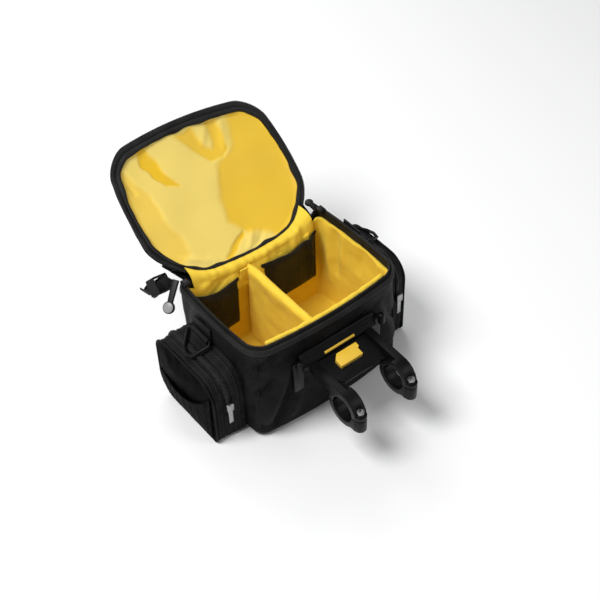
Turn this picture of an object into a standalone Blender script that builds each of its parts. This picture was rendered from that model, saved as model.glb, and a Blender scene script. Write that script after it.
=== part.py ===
"""Handlebar bag with an open lid, two side pockets and a quick-release bar bracket.

Metres, +Z up. X runs along the handlebar to the rider's right, +Y points the way the bicycle travels.
The origin is on the floor under the middle of the bag, which stands on its own base.
"""
import math
from collections import namedtuple

import bmesh
import bpy
from mathutils import Euler, Matrix, Vector

# Clearance between pieces that lie on each other
GAP = 0.0003

# Main compartment: outer fabric box, lined with padded cloth
RIM_HEIGHT = 0.143
RIM_HALF_WIDTH = 0.105
BASE_HALF_WIDTH = 0.1035
RIM_REAR = 0.070
BASE_REAR = 0.069
RIM_FRONT = 0.078
BASE_FRONT = 0.077
REAR_CORNER_RADIUS = 0.022
BASE_CORNER_RADIUS = 0.012
FRONT_CORNER_RADIUS = 0.0125
BASE_EDGE_RADIUS = 0.0095
SIDE_BOW = 0.0035
REAR_BOW = 0.008
FRONT_BOW = -0.008
FRONT_DIP = 0.018
FRONT_DIP_REACH = 0.9
FRONT_DIP_START = 0.45
FRONT_DIP_RUN = 0.4
SHELL_WALL = 0.0025
LINER_WALL = 0.005
LINER_TOP = RIM_HEIGHT - 0.009
LINER_CLEARANCE = 0.0008

# Padded roll along the rider's side of the opening
REAR_PAD_HALF_LENGTH = RIM_HALF_WIDTH - 0.021
REAR_PAD_THICKNESS = 0.0075
REAR_PAD_HEIGHT = 0.0135
REAR_PAD_END = 0.12
REAR_PAD_SQUARENESS = 8

# Divider and the mesh pockets on the front inside wall
DIVIDER_X = -0.014
DIVIDER_THICKNESS = 0.008
DIVIDER_TOP = RIM_HEIGHT - 0.014
# The divider's thickness, full up to its rounded top: share of the height, share of the thickness
DividerRow = namedtuple("DividerRow", "height thickness")
DIVIDER_ROWS = (
    DividerRow(0.0, 1.0), DividerRow(0.85, 1.0), DividerRow(0.96, 0.8), DividerRow(1.0, 0.35),
)
DIVIDER_TAB_WIDTH = 0.010
DIVIDER_TAB_HEIGHT = 0.020
DIVIDER_TAB_THICKNESS = 0.002
INNER_MESH_TOP = RIM_HEIGHT - 0.024
INNER_MESH_HEIGHT = 0.075
INNER_MESH_WALL = 0.0012
INNER_MESH_BULGE = 0.004
INNER_MESH_ROWS = (0.0, 0.35, 0.7, 1.0)
INNER_MESH_COLUMNS = 8
INNER_MESH_MARGIN = 0.012

# Zip round the opening
RIM_ZIP_RISE = 0.002
RIM_ZIP_THICKNESS = 0.0022

# Lid, hinged on the front edge and laid open past upright
LID_WIDTH = 2 * RIM_HALF_WIDTH + 0.001
LID_LENGTH = 0.165
LID_FREE_RADIUS = 0.028
LID_HINGE_RADIUS = 0.054
LID_BOW = 0.0105
LID_DEPTH = 0.020
LID_WALL = 0.0025
LID_BAND_WIDTH = 0.0088
LID_FREE_WIDENING = 1.5
LID_FREE_LEAST = 0.2
# Walls and panels of the lid: how far in from the edge, in band widths, and the share of the depth
LidRow = namedtuple("LidRow", "inset depth")
LID_ROWS = (
    LidRow(0.0, 0.0), LidRow(0.3, 0.20), LidRow(0.7, 0.55), LidRow(1.6, 0.86), LidRow(3.0, 1.0),
    LidRow(4.8, 1.05),
)
LINING_ROWS = (LidRow(1.0, 0.0), LidRow(1.9, 0.4), LidRow(3.2, 0.8), LidRow(4.8, 1.0))
LID_OPEN_ANGLE = math.radians(142)
LID_TURN = math.radians(-1.7)
LID_ROLL = math.radians(4)
LID_SHIFT = -0.003
LID_CLEARANCE = 0.003
LID_CORNER_STEPS = 6
LID_SIDE_STEPS = 4
LINING_WALL = 0.002
LINING_SAG = 0.007
LID_ZIP_WIDTH = 0.0042
LID_ZIP_THICKNESS = 0.0032
LID_BAND_THICKNESS = 0.0026
HINGE_STRIP_HALF_WIDTH = RIM_HALF_WIDTH - 0.014
HINGE_STRIP_RISE = 0.030
HINGE_STRIP_DROP = 0.018
HINGE_STRIP_WALL = 0.0015
HINGE_STRIP_CLEARANCE = 0.0012

# Zip sliders and their pulls at the two ends of the lid's zip
SLIDER_LENGTH = 0.011
SLIDER_WIDTH = 0.009
SLIDER_HEIGHT = 0.0045
SLIDER_ROUND = 0.001
STEM_WIDTH = 0.008
STEM_NECK = 0.8
MEDALLION_RADIUS = 0.0072
MEDALLION_THICKNESS = 0.0038
KNOB_RADIUS = 0.0052
PULL_ROUND = 0.0006
# A slider lies this far in from the side and back from the front of the rim; its pull starts this far
# outside, ahead of and above it
LidPull = namedtuple("LidPull", "name side inset back out ahead above stem disc lean facing")
LID_PULLS = (
    LidPull("left", -1, 0.0065, 0.0105, 0.006, 0.0095, 0.0065, 0.0255, MEDALLION_RADIUS,
            math.radians(44), math.radians(-61)),
    LidPull("right", 1, 0.0065, 0.0105, -0.0025, 0.006, 0.0025, 0.008, KNOB_RADIUS,
            math.radians(90), math.radians(180)),
)

# Side pockets: every row is one pocket, sizes in metres
Pocket = namedtuple("Pocket", "name side rear front outer_x wall_top outer_top corner")
POCKETS = (
    Pocket("left", -1, -0.046, 0.071, RIM_HALF_WIDTH + 0.040, RIM_HEIGHT - 0.040, RIM_HEIGHT - 0.054, 0.016),
    Pocket("right", 1, -0.045, 0.058, RIM_HALF_WIDTH + 0.0335, RIM_HEIGHT - 0.019, RIM_HEIGHT - 0.030,
           0.016),
)
POCKET_WALL = 0.0018
POCKET_SEAT_CLEARANCE = 0.001
POCKET_REAR_DRAFT = 0.004
POCKET_PANEL_CROWN = 0.004
POCKET_ZIP_WIDTH = 0.0055
POCKET_ZIP_THICKNESS = 0.0016
POCKET_ZIP_SHARE = 0.56
POCKET_ZIP_FRONT_SHARE = 0.55
POCKET_CORNER_POINTS = 13
POCKET_SLIDER_SHARE = 0.52
POCKET_FRONT_FLARE = 0.011
POCKET_CROWN = 0.002
POCKET_MESH_WALL = 0.0012
POCKET_MESH_MARGIN = 0.006
POCKET_REAR_TOP_ROUND = 1.6
POCKET_BASE_ROUND = 0.5
POCKET_FRONT_BASE_ROUND = 2.0
POCKET_MESH_HEM = 0.46
POCKET_MESH_HEM_REAR = 0.38
POCKET_MESH_BELLY = 0.004
POCKET_MESH_ROWS = 4
POCKET_MESH_COLUMNS = 8
POCKET_PANEL_SCALES = (0.8, 0.35)
POCKET_EDGE_STEPS = 4
PULL_LENGTH = 0.020
PULL_WIDTH = 0.0058
PULL_THICKNESS = 0.0018
PULL_EDGE_ROUND = 0.0006

# Shoulder strap rings on both sides
WEB_WIDTH = 0.030
WEB_Y = 0.022
WEB_HEIGHT = 0.016
WEB_RISE = 0.007
WEB_THICKNESS = 0.002
WEB_EYE_TURN = 270
RING_WIRE = 0.004
RING_LENGTH = 0.026
RING_WIDTH = 0.034
RING_ROUND = 0.0028
WEB_EYE_STEPS = 8
# The ring's outline: how far out, as a share of its length; across it, half widths plus corner radii
RingPoint = namedtuple("RingPoint", "out half_widths rounds")
RING_POINTS = (
    RingPoint(0.0, -1.0, 0), RingPoint(0.0, 1.0, 0), RingPoint(0.16, 1.0, 1), RingPoint(0.45, 0.78, 0),
    RingPoint(0.86, 0.0, 1), RingPoint(1.0, 0.0, -2), RingPoint(0.92, 0.0, -5), RingPoint(0.5, -1.0, 0),
    RingPoint(0.16, -1.0, -1),
)

# Folded strap held by a loop at the rim's front left corner
BUNDLE_START = (-RIM_HALF_WIDTH - 0.0067, RIM_FRONT + 0.0097, RIM_HEIGHT + 0.0017)
BUNDLE_END = (-RIM_HALF_WIDTH - 0.0217, RIM_FRONT + 0.0262, RIM_HEIGHT - 0.0173)
BUNDLE_FACE = (-0.42, -0.56, 0.71)
BUNDLE_WIDTH = 0.022
BUNDLE_LAYER = 0.0022
BUNDLE_SPACE = 0.0006
BUNDLE_LAYERS = 6
BUNDLE_STAGGER = 0.003
LOOP_PLACE = 0.012
LOOP_WIDTH = 0.012
LOOP_WALL = 0.0015
LOOP_ROUND = 0.001
LOOP_CLEARANCE = 0.0006

# Plastic frame on the rider's side of the bag, which the bracket plugs into
FRAME_HALF_WIDTH = 0.053
FRAME_HEIGHT = 0.018
FRAME_DEPTH = 0.011
FRAME_TOP = RIM_HEIGHT - 0.025
FRAME_LEG_WIDTH = 0.014
FRAME_LEG_LENGTH = 0.044
FRAME_LEG_DEPTH = 0.007
FRAME_LEG_DROP = 0.008
FRAME_LEG_ROUND = 0.002
FRAME_EAR = 0.010
FRAME_LIP_HEIGHT = 0.005
FRAME_CREST = 0.003
FRAME_SLOT_SHARES = (0.2, 0.5)
FRAME_SLOT_MARGIN = 0.008
FRAME_SLOT_WIDTH = 0.0016
FRAME_SLOT_DEPTH = 0.0012
FRAME_MARK_SHARE = 0.8

# Handlebar bracket: plate, side rails and two jaws on the bar
BRACKET_PLATE_WIDTH = 0.070
BRACKET_PLATE_DEPTH = 0.039
BRACKET_PLATE_TOP = FRAME_TOP - 0.012
BRACKET_SLOPE = math.radians(8)
BRACKET_CHAMFER = 0.009
RAIL_WIDTH = 0.0095
RAIL_HEIGHT = 0.012
PLATE_RECESS = 0.0032
PLATE_WALL = 0.003
BEAM_DEPTH = 0.008
BEAM_HEIGHT = 0.005
BEAM_DROP = 0.004
BAR_DIAMETER = 0.0318
BAR_CLEARANCE = 0.0003
BAR_Y = -RIM_REAR - 0.075
BAR_Z = BRACKET_PLATE_TOP - 0.025
JAW_WALL = 0.0065
JAW_WIDTH = 0.016
JAW_SPLIT = 0.0016
ARM_LEAVES_JAW = 82
ARM_FOOT_DROP = 0.003
LUG_RADIUS = 0.0075
UPPER_LUG_HEIGHT = 0.0045
LOWER_LUG_HEIGHT = 0.017
BOLT_HEAD_RADIUS = 0.0044
BOLT_HEAD_HEIGHT = 0.005
BOLT_SHANK_RADIUS = 0.0025
BOLT_MARGIN = 0.0008
BOLT_CLEARANCE = 0.0004
BOLT_SOCKET_RADIUS = 0.0022
BOLT_SOCKET_DEPTH = 0.0025

# Yellow release button and the yellow mark in front of it
BUTTON_WIDTH = 0.031
BUTTON_DEPTH = 0.017
BUTTON_STEP = 0.003
BUTTON_HEIGHT = 0.0075
BUTTON_WAIST = 0.55
BUTTON_PROUD = 0.004
BUTTON_CLEARANCE = 0.0006
BUTTON_REAR_MARGIN = 0.017
BUTTON_X = -0.002
MARK_LENGTH = 0.043
MARK_WIDTH = 0.003
MARK_DEPTH = 0.0012
MARK_SINK = 0.00048

# Curve and corner fineness
CORNER_STEPS = 4
SIDE_STEPS = 5
ROUND_STEPS = 16
SHARP_ANGLE = math.radians(35)


def clear_scene():
    for item in list(bpy.data.objects):
        bpy.data.objects.remove(item, do_unlink=True)


def new_collection(name):
    group = bpy.data.collections.new(name)
    bpy.context.scene.collection.children.link(group)
    return group


def material(name, colour, roughness, metallic=0.0):
    made = bpy.data.materials.new(name)
    made.use_nodes = True
    shader = made.node_tree.nodes["Principled BSDF"]
    shader.inputs["Base Color"].default_value = (*colour, 1.0)
    shader.inputs["Roughness"].default_value = roughness
    shader.inputs["Metallic"].default_value = metallic
    return made


def add_mesh(name, vertices, faces, finish):
    mesh = bpy.data.meshes.new(name)
    mesh.from_pydata([tuple(v) for v in vertices], [], faces)
    mesh.materials.append(finish)
    mesh.shade_smooth()
    mesh.set_sharp_from_angle(angle=SHARP_ANGLE)
    made = bpy.data.objects.new(name, mesh)
    PARTS.objects.link(made)
    return made


def solidify(piece, thickness, offset=-1.0):
    wall = piece.modifiers.new("wall", "SOLIDIFY")
    wall.thickness = thickness
    wall.offset = offset
    wall.use_even_offset = True
    return piece


def loft(name, rings, finish, start_cap=True, end_cap=True):
    """Skin through rings of equal length, counterclockwise about the way they advance."""
    count = len(rings[0])
    vertices = [point for ring in rings for point in ring]
    faces = []
    for row in range(len(rings) - 1):
        for column in range(count):
            following = (column + 1) % count
            low, high = row * count, (row + 1) * count
            faces.append((low + column, low + following, high + following, high + column))
    if start_cap:
        faces.append(tuple(reversed(range(count))))
    if end_cap:
        faces.append(tuple(range((len(rings) - 1) * count, len(rings) * count)))
    return add_mesh(name, vertices, faces, finish)


def sheet(name, rows, finish, thickness, offset=0.0):
    """A cloth panel: a grid of points given a wall."""
    columns = len(rows[0])
    vertices = [point for row in rows for point in row]
    faces = []
    for row in range(len(rows) - 1):
        for column in range(columns - 1):
            corner = row * columns + column
            faces.append((corner, corner + 1, corner + columns + 1, corner + columns))
    return solidify(add_mesh(name, vertices, faces, finish), thickness, offset)


def outline(half_x, rear_y, front_y, radii, bow_x, bow_rear, bow_front,
            corner_steps=CORNER_STEPS, side_steps=SIDE_STEPS):
    """Rounded rectangle with bowed sides, counterclockwise from the front end of its right side."""
    signs = ((1, 1), (-1, 1), (-1, -1), (1, -1))
    corners = []
    for index, ((sign_x, sign_y), radius) in enumerate(zip(signs, radii)):
        end_y = front_y if sign_y > 0 else rear_y
        corners.append((sign_x * (half_x - radius), end_y - sign_y * radius, radius, 90 * index))
    arcs = []
    for centre_x, centre_y, radius, start in corners:
        arc = []
        for step in range(corner_steps + 1):
            angle = math.radians(start + 90 * step / corner_steps)
            arc.append(Vector((centre_x + radius * math.cos(angle), centre_y + radius * math.sin(angle))))
        arcs.append(arc)
    points = []
    for index, arc in enumerate(arcs):
        points.extend(arc)
        following = arcs[(index + 1) % 4][0]
        for step in range(1, side_steps):
            points.append(arc[-1].lerp(following, step / side_steps))
    middle_y = (rear_y + front_y) / 2
    half_y = (front_y - rear_y) / 2
    bowed = []
    for point in points:
        across = point.x / half_x
        along = (point.y - middle_y) / half_y
        bow_y = bow_front if along > 0 else bow_rear
        shift_x = bow_x * math.copysign(abs(across) ** 3, across) * (1 - along ** 2)
        shift_y = bow_y * math.copysign(abs(along) ** 3, along) * (1 - across ** 2)
        bowed.append(Vector((point.x + shift_x, point.y + shift_y)))
    return bowed


def body_plan(height, inset):
    """Outline of the main compartment at a height, moved inward by inset."""
    share = height / RIM_HEIGHT
    half_x = BASE_HALF_WIDTH + (RIM_HALF_WIDTH - BASE_HALF_WIDTH) * share - inset
    rear_y = BASE_REAR + (RIM_REAR - BASE_REAR) * share - inset
    front_y = BASE_FRONT + (RIM_FRONT - BASE_FRONT) * share - inset
    front = FRONT_CORNER_RADIUS - inset
    rear = BASE_CORNER_RADIUS + (REAR_CORNER_RADIUS - BASE_CORNER_RADIUS) * share - inset
    radii = (front, front, rear, rear)
    return outline(half_x, -rear_y, front_y, radii, SIDE_BOW, REAR_BOW, FRONT_BOW * share)


def rim_drop(point):
    """How far the rim lies lower at the middle of its front edge."""
    forward = max(0.0, min(1.0, (point.y / RIM_FRONT - FRONT_DIP_START) / FRONT_DIP_RUN))
    across = min(1.0, abs(point.x) / (RIM_HALF_WIDTH * FRONT_DIP_REACH))
    return FRONT_DIP * forward * (1 - across ** 4)


def front_plan_height(x, z, top):
    """Which height's outline the dipped front wall follows at (x, z), when its corners end at top."""
    rise = top - BASE_EDGE_RADIUS
    share = (z - BASE_EDGE_RADIUS) / (rise - rim_drop(Vector((x, RIM_FRONT))))
    return BASE_EDGE_RADIUS + rise * min(1.0, share)


def front_wall_y(x, z, top, inset):
    return plan_y(body_plan(front_plan_height(x, z, top), inset), x, 1)


def body_rings(inset, top, wall_rows=3, edge_rows=3):
    """Rings from the floor panel up to the rim, all moved inward by inset."""
    radius = BASE_EDGE_RADIUS - inset
    rings = []
    for step in range(edge_rows + 1):
        angle = math.radians(90 * step / edge_rows)
        height = inset + radius * (1 - math.cos(angle))
        pulled_in = inset + radius * (1 - math.sin(angle))
        rings.append([Vector((p.x, p.y, height)) for p in body_plan(height, pulled_in)])
    floor = BASE_EDGE_RADIUS
    for step in range(1, wall_rows + 1):
        share = step / wall_rows
        ring = []
        for point in body_plan(floor + (top - floor) * share, inset):
            height = floor + (top - rim_drop(point) - floor) * share
            ring.append(Vector((point.x, point.y, height)))
        rings.append(ring)
    return rings


def plan_x(ring, y, side):
    """Where an outline's side wall is at a given y."""
    count = len(ring)
    for index in range(count):
        first, second = ring[index], ring[(index + 1) % count]
        if side * first.x < 0 or side * second.x < 0 or first.y == second.y:
            continue
        if min(first.y, second.y) <= y <= max(first.y, second.y):
            share = (y - first.y) / (second.y - first.y)
            return abs(first.x + (second.x - first.x) * share)
    return 0.0


def plan_y(ring, x, side):
    """Where an outline's front (side 1) or rear (side -1) wall is at a given x."""
    count = len(ring)
    for index in range(count):
        first, second = ring[index], ring[(index + 1) % count]
        if side * first.y < 0 or side * second.y < 0 or first.x == second.x:
            continue
        if min(first.x, second.x) <= x <= max(first.x, second.x):
            share = (x - first.x) / (second.x - first.x)
            return first.y + (second.y - first.y) * share
    return 0.0


def make_compartment():
    solidify(loft("body_shell", body_rings(0.0, RIM_HEIGHT), BLACK_CLOTH, end_cap=False), SHELL_WALL)
    inset = SHELL_WALL + LINER_CLEARANCE
    solidify(loft("liner", body_rings(inset, LINER_TOP), YELLOW_CLOTH, end_cap=False), LINER_WALL)


def cavity_inset():
    return SHELL_WALL + LINER_CLEARANCE + LINER_WALL + GAP


def make_rear_pad():
    """A flattened roll that stands on the liner's rear edge, rounded at both ends."""
    plan = body_plan(RIM_HEIGHT, SHELL_WALL + RIM_ZIP_THICKNESS + GAP * 3 + REAR_PAD_THICKNESS / 2)
    middle = LINER_TOP + GAP + REAR_PAD_HEIGHT / 2
    stations = 16
    around = 10
    rings = []
    for station in range(stations + 1):
        along = -1 + 2 * station / stations
        x = REAR_PAD_HALF_LENGTH * math.sin(along * math.pi / 2)
        taper = math.sqrt(max(REAR_PAD_END, 1 - along ** REAR_PAD_SQUARENESS))
        y = plan_y(plan, x, -1)
        ring = []
        for step in range(around):
            angle = 2 * math.pi * step / around
            ring.append(Vector((x, y + REAR_PAD_THICKNESS / 2 * taper * math.cos(angle),
                                middle + REAR_PAD_HEIGHT / 2 * taper * math.sin(angle))))
        rings.append(ring)
    loft("rear_pad", rings, YELLOW_CLOTH)


def make_divider():
    inset = cavity_inset()
    bottom = inset
    left = DIVIDER_X - DIVIDER_THICKNESS / 2
    right = DIVIDER_X + DIVIDER_THICKNESS / 2
    rings = []
    for share, width in DIVIDER_ROWS:
        height = bottom + (DIVIDER_TOP - bottom) * share
        rear = body_plan(height, inset + 2 * GAP)
        floor_lift = max(0.0, BASE_EDGE_RADIUS - inset - (height - bottom))
        ring = []
        middle = (left + right) / 2
        for x, side in ((left, -1), (right, -1), (right, 1), (left, 1)):
            at = middle + (x - middle) * width
            y = plan_y(rear, at, -1) if side < 0 else front_wall_y(at, height, LINER_TOP, inset + 2 * GAP)
            ring.append(Vector((at, y - side * floor_lift, height)))
        rings.append(ring)
    loft("divider", rings, YELLOW_CLOTH)
    make_divider_tab(inset, left)


def make_divider_tab(inset, left):
    """Small closing tab of the divider on the front inside wall."""
    rows = []
    for share in (0.0, 1.0):
        height = DIVIDER_TOP - DIVIDER_TAB_HEIGHT * (1 - share)
        row = []
        for step in range(3):
            x = left - GAP - DIVIDER_TAB_WIDTH * step / 2
            row.append(Vector((x, front_wall_y(x, height, LINER_TOP, inset + 2 * GAP), height)))
        rows.append(row)
    sheet("divider_tab", rows, YELLOW_CLOTH, DIVIDER_TAB_THICKNESS, -1.0)


def make_inner_mesh(name, start, end):
    """An open-topped mesh pocket that bellies away from the front inside wall."""
    inset = cavity_inset() + 2 * GAP
    rows = []
    for row_share in INNER_MESH_ROWS:
        height = INNER_MESH_TOP - INNER_MESH_HEIGHT * (1 - row_share)
        row = []
        for step in range(INNER_MESH_COLUMNS + 1):
            share = step / INNER_MESH_COLUMNS
            x = start + (end - start) * share
            fullness = math.sin(math.pi * share) * math.sin(math.pi * (1 + 5 * row_share) / 7)
            belly = INNER_MESH_BULGE * fullness
            row.append(Vector((x, front_wall_y(x, height, LINER_TOP, inset) - belly, height)))
        rows.append(row)
    sheet(name, rows, BLACK_MESH, INNER_MESH_WALL, -1.0)


def make_inner_meshes():
    inset = cavity_inset()
    reach = BASE_HALF_WIDTH - inset - FRONT_CORNER_RADIUS / 2
    left_end = DIVIDER_X - DIVIDER_THICKNESS / 2 - DIVIDER_TAB_WIDTH - INNER_MESH_MARGIN / 3
    right_start = DIVIDER_X + DIVIDER_THICKNESS / 2 + INNER_MESH_MARGIN
    make_inner_mesh("inner_mesh_left", left_end, -reach)
    make_inner_mesh("inner_mesh_right", reach, right_start)


def rim_path(inset):
    """Points along the rim from the front left corner round the rear to the front right corner."""
    plan = body_plan(RIM_HEIGHT, inset)
    count = len(plan)
    start = CORNER_STEPS + SIDE_STEPS + CORNER_STEPS // 2
    end = count + CORNER_STEPS // 2
    return [plan[index % count] for index in range(start, end + 1)]


def make_rim_zip():
    """Zip tape that stands inside the rim, above the padding."""
    outer = rim_path(SHELL_WALL + GAP)
    inner = rim_path(SHELL_WALL + GAP + RIM_ZIP_THICKNESS)
    low = LINER_TOP + GAP
    high = RIM_HEIGHT + RIM_ZIP_RISE
    rings = []
    for first, second in zip(outer, inner):
        rings.append([
            Vector((first.x, first.y, low)), Vector((second.x, second.y, low)),
            Vector((second.x, second.y, high)), Vector((first.x, first.y, high)),
        ])
    loft("rim_zip", rings, ZIP_BLACK)


def lid_matrix():
    """The lid's own frame: X along the hinge, Y towards the free edge, Z out of its inner face."""
    lean = math.pi - LID_OPEN_ANGLE
    y = RIM_FRONT + FRONT_BOW + LID_BOW * math.cos(lean) + LID_CLEARANCE / 2
    z = RIM_HEIGHT - FRONT_DIP + LID_BOW * math.sin(lean) + LID_CLEARANCE
    turned = Euler((lean, LID_ROLL, LID_TURN), "ZYX").to_matrix().to_4x4()
    return Matrix.Translation((LID_SHIFT, y, z)) @ turned


def make_lid_frame():
    empty = bpy.data.objects.new("lid_frame", None)
    PARTS.objects.link(empty)
    empty.matrix_world = lid_matrix()
    return empty


def lid_outline(inset):
    hinge = LID_HINGE_RADIUS - inset
    free = max(LID_FREE_RADIUS - inset, LID_FREE_RADIUS * LID_FREE_LEAST)
    return outline(LID_WIDTH / 2 - inset, inset, LID_LENGTH - inset * LID_FREE_WIDENING,
                   (free, free, hinge, hinge), LID_BOW, LID_BOW, LID_BOW, LID_CORNER_STEPS, LID_SIDE_STEPS)


def lid_ring(inset, depth):
    return [Vector((point.x, point.y, -depth)) for point in lid_outline(inset)]


def lid_sections():
    """The tray from its edge to its panel: how far in, and how deep its outer face lies."""
    edge = LID_ZIP_THICKNESS / 2 + GAP + LID_WALL
    return [(LID_BAND_WIDTH * inset, edge + LID_DEPTH * share) for inset, share in LID_ROWS]


def make_lid(frame):
    """A shallow cloth tray: splayed walls and a slightly domed panel."""
    rings = [lid_ring(inset, depth) for inset, depth in reversed(lid_sections())]
    shell = solidify(loft("lid_shell", rings, BLACK_CLOTH, end_cap=False), LID_WALL)
    shell.parent = frame
    rings = [lid_ring(LID_BAND_WIDTH * inset, LINING_WALL + LINING_SAG * share)
             for inset, share in reversed(LINING_ROWS)]
    lining = solidify(loft("lid_lining", rings, YELLOW_LINING, end_cap=False), LINING_WALL)
    lining.parent = frame
    lid_band("lid_band", LID_ZIP_WIDTH + GAP, LID_BAND_WIDTH - GAP, LID_BAND_THICKNESS, frame)
    lid_band("lid_zip", 0.0, LID_ZIP_WIDTH, LID_ZIP_THICKNESS, frame)


def lid_band(name, outer_inset, inner_inset, thickness, frame):
    """A flat ribbon all round the lid, between two insets from its edge."""
    rings = []
    for first, second in zip(lid_outline(outer_inset), lid_outline(inner_inset)):
        rings.append([
            Vector((first.x, first.y, -thickness / 2)), Vector((second.x, second.y, -thickness / 2)),
            Vector((second.x, second.y, thickness / 2)), Vector((first.x, first.y, thickness / 2)),
        ])
    closed_loft(name, rings, ZIP_BLACK).parent = frame


def closed_loft(name, rings, finish):
    """Skin through rings of equal length that follow each other round a closed path."""
    count = len(rings[0])
    total = len(rings)
    faces = []
    for row in range(total):
        following = (row + 1) % total
        for column in range(count):
            after = (column + 1) % count
            faces.append((row * count + column, following * count + column,
                          following * count + after, row * count + after))
    made = add_mesh(name, [point for ring in rings for point in ring], faces, finish)
    face_out(made)
    return made


def face_out(piece):
    shape = bmesh.new()
    shape.from_mesh(piece.data)
    bmesh.ops.recalc_face_normals(shape, faces=shape.faces)
    shape.to_mesh(piece.data)
    shape.free()


def make_hinge_strip():
    """Cloth hinge: down the outside of the front wall and under the lid's walls."""
    half = HINGE_STRIP_WALL / 2 + GAP
    to_world = lid_matrix()
    sections = lid_sections()
    edge = lid_outline(0.0)
    start = 2 * (LID_CORNER_STEPS + LID_SIDE_STEPS)
    kept = [index for index in range(start, start + 2 * LID_CORNER_STEPS + LID_SIDE_STEPS + 1)
            if edge[index].y < HINGE_STRIP_RISE]
    reach = abs(edge[kept[0]].x)
    rows = []
    for index in kept:
        x = edge[index].x / reach * HINGE_STRIP_HALF_WIDTH
        top = RIM_HEIGHT - rim_drop(Vector((x, RIM_FRONT)))
        row = []
        for height in (top - HINGE_STRIP_DROP, top - 2 * HINGE_STRIP_WALL):
            row.append(Vector((x, front_wall_y(x, height, RIM_HEIGHT, -half - GAP), height)))
        for inset, depth in sections[1:4]:
            clear = HINGE_STRIP_WALL / 2 + HINGE_STRIP_CLEARANCE
            point = lid_outline(inset - clear)[index]
            row.append(to_world @ Vector((point.x, point.y, -depth - clear)))
        rows.append(row)
    sheet("hinge_strip", rows, BLACK_CLOTH, HINGE_STRIP_WALL)


def tube(name, points, radius, finish, cyclic=False, resolution=2):
    """A round wire through points, as a mesh whose caps are joined to its side."""
    curve = bpy.data.curves.new(name, "CURVE")
    curve.dimensions = "3D"
    curve.bevel_depth = radius
    curve.bevel_resolution = resolution
    curve.use_fill_caps = not cyclic
    spline = curve.splines.new("POLY")
    spline.points.add(len(points) - 1)
    for slot, point in zip(spline.points, points):
        slot.co = (*point, 1.0)
    spline.use_cyclic_u = cyclic
    source = bpy.data.objects.new(name + "_path", curve)
    PARTS.objects.link(source)
    bpy.context.view_layer.update()
    evaluated = source.evaluated_get(bpy.context.evaluated_depsgraph_get())
    mesh = bpy.data.meshes.new_from_object(evaluated)
    shape = bmesh.new()
    shape.from_mesh(mesh)
    bmesh.ops.remove_doubles(shape, verts=shape.verts, dist=1e-6)
    bmesh.ops.recalc_face_normals(shape, faces=shape.faces)
    shape.to_mesh(mesh)
    shape.free()
    mesh.materials.clear()
    mesh.materials.append(finish)
    mesh.shade_smooth()
    mesh.set_sharp_from_angle(angle=SHARP_ANGLE)
    bpy.data.objects.remove(source, do_unlink=True)
    made = bpy.data.objects.new(name, mesh)
    PARTS.objects.link(made)
    return made


def prism(name, profile, low_x, high_x, finish):
    """A profile of (y, z) points, counterclockwise seen from +X, given a width along X."""
    rings = [[Vector((x, y, z)) for y, z in profile] for x in (low_x, high_x)]
    return loft(name, rings, finish)


def block(name, size, centre, finish, rotation=None):
    """A box of full sizes with its middle at centre."""
    shape = bmesh.new()
    bmesh.ops.create_cube(shape, size=1.0)
    bmesh.ops.scale(shape, vec=size, verts=shape.verts)
    mesh = bpy.data.meshes.new(name)
    shape.to_mesh(mesh)
    shape.free()
    mesh.materials.append(finish)
    made = bpy.data.objects.new(name, mesh)
    made.location = centre
    if rotation:
        made.rotation_euler = rotation
    PARTS.objects.link(made)
    return made


def cylinder(name, radius, height, centre, finish, rotation=None, sides=ROUND_STEPS):
    shape = bmesh.new()
    bmesh.ops.create_cone(shape, cap_ends=True, segments=sides, radius1=radius, radius2=radius, depth=height)
    mesh = bpy.data.meshes.new(name)
    shape.to_mesh(mesh)
    shape.free()
    mesh.materials.append(finish)
    mesh.shade_smooth()
    mesh.set_sharp_from_angle(angle=SHARP_ANGLE)
    made = bpy.data.objects.new(name, mesh)
    made.location = centre
    if rotation:
        made.rotation_euler = rotation
    PARTS.objects.link(made)
    return made


def bevel(piece, width, segments=2):
    edge = piece.modifiers.new("round", "BEVEL")
    edge.width = width
    edge.segments = segments
    edge.limit_method = "ANGLE"
    edge.angle_limit = SHARP_ANGLE
    return piece


def combine(piece, tool, operation):
    """Boolean against a helper piece, which stays as a hidden cutter."""
    for group in list(tool.users_collection):
        group.objects.unlink(tool)
    CUTTERS.objects.link(tool)
    tool.hide_render = True
    tool.display_type = "WIRE"
    change = piece.modifiers.new(tool.name, "BOOLEAN")
    change.operation = operation
    change.object = tool
    change.solver = "EXACT"


def side_wall_x(y, z):
    """Outer face of the compartment's side wall, from the middle."""
    return plan_x(body_plan(max(z, BASE_EDGE_RADIUS), 0.0), y, 1)


def seat_x(y, z):
    """Where cloth that is sewn to the side wall ends, clear of the curving wall."""
    return POCKET_SEAT_CLEARANCE + max(side_wall_x(y + step, z) for step in (-POCKET_WALL, 0.0, POCKET_WALL))


def pocket_edge(pocket, share, spread=0.0):
    """Outline of a side pocket in (y, z): share 0 at the wall, 1 at its outer panel."""
    rear = pocket.rear + POCKET_REAR_DRAFT * share
    front = pocket.front - POCKET_FRONT_FLARE * (1 - share)
    top = pocket.wall_top + (pocket.outer_top - pocket.wall_top) * share
    middle = (rear + front) / 2
    corner = pocket.corner + spread
    front_base = POCKET_BASE_ROUND + (POCKET_FRONT_BASE_ROUND - POCKET_BASE_ROUND) * share
    radii = (corner, pocket.corner * POCKET_REAR_TOP_ROUND + spread,
             pocket.corner * POCKET_BASE_ROUND + spread, pocket.corner * front_base + spread)
    flat = outline((front - rear) / 2 + spread, -spread, top + spread, radii, 0.0, 0.0, POCKET_CROWN,
                   POCKET_EDGE_STEPS, POCKET_EDGE_STEPS)
    return [(middle + point.x, point.y) for point in flat]


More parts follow.
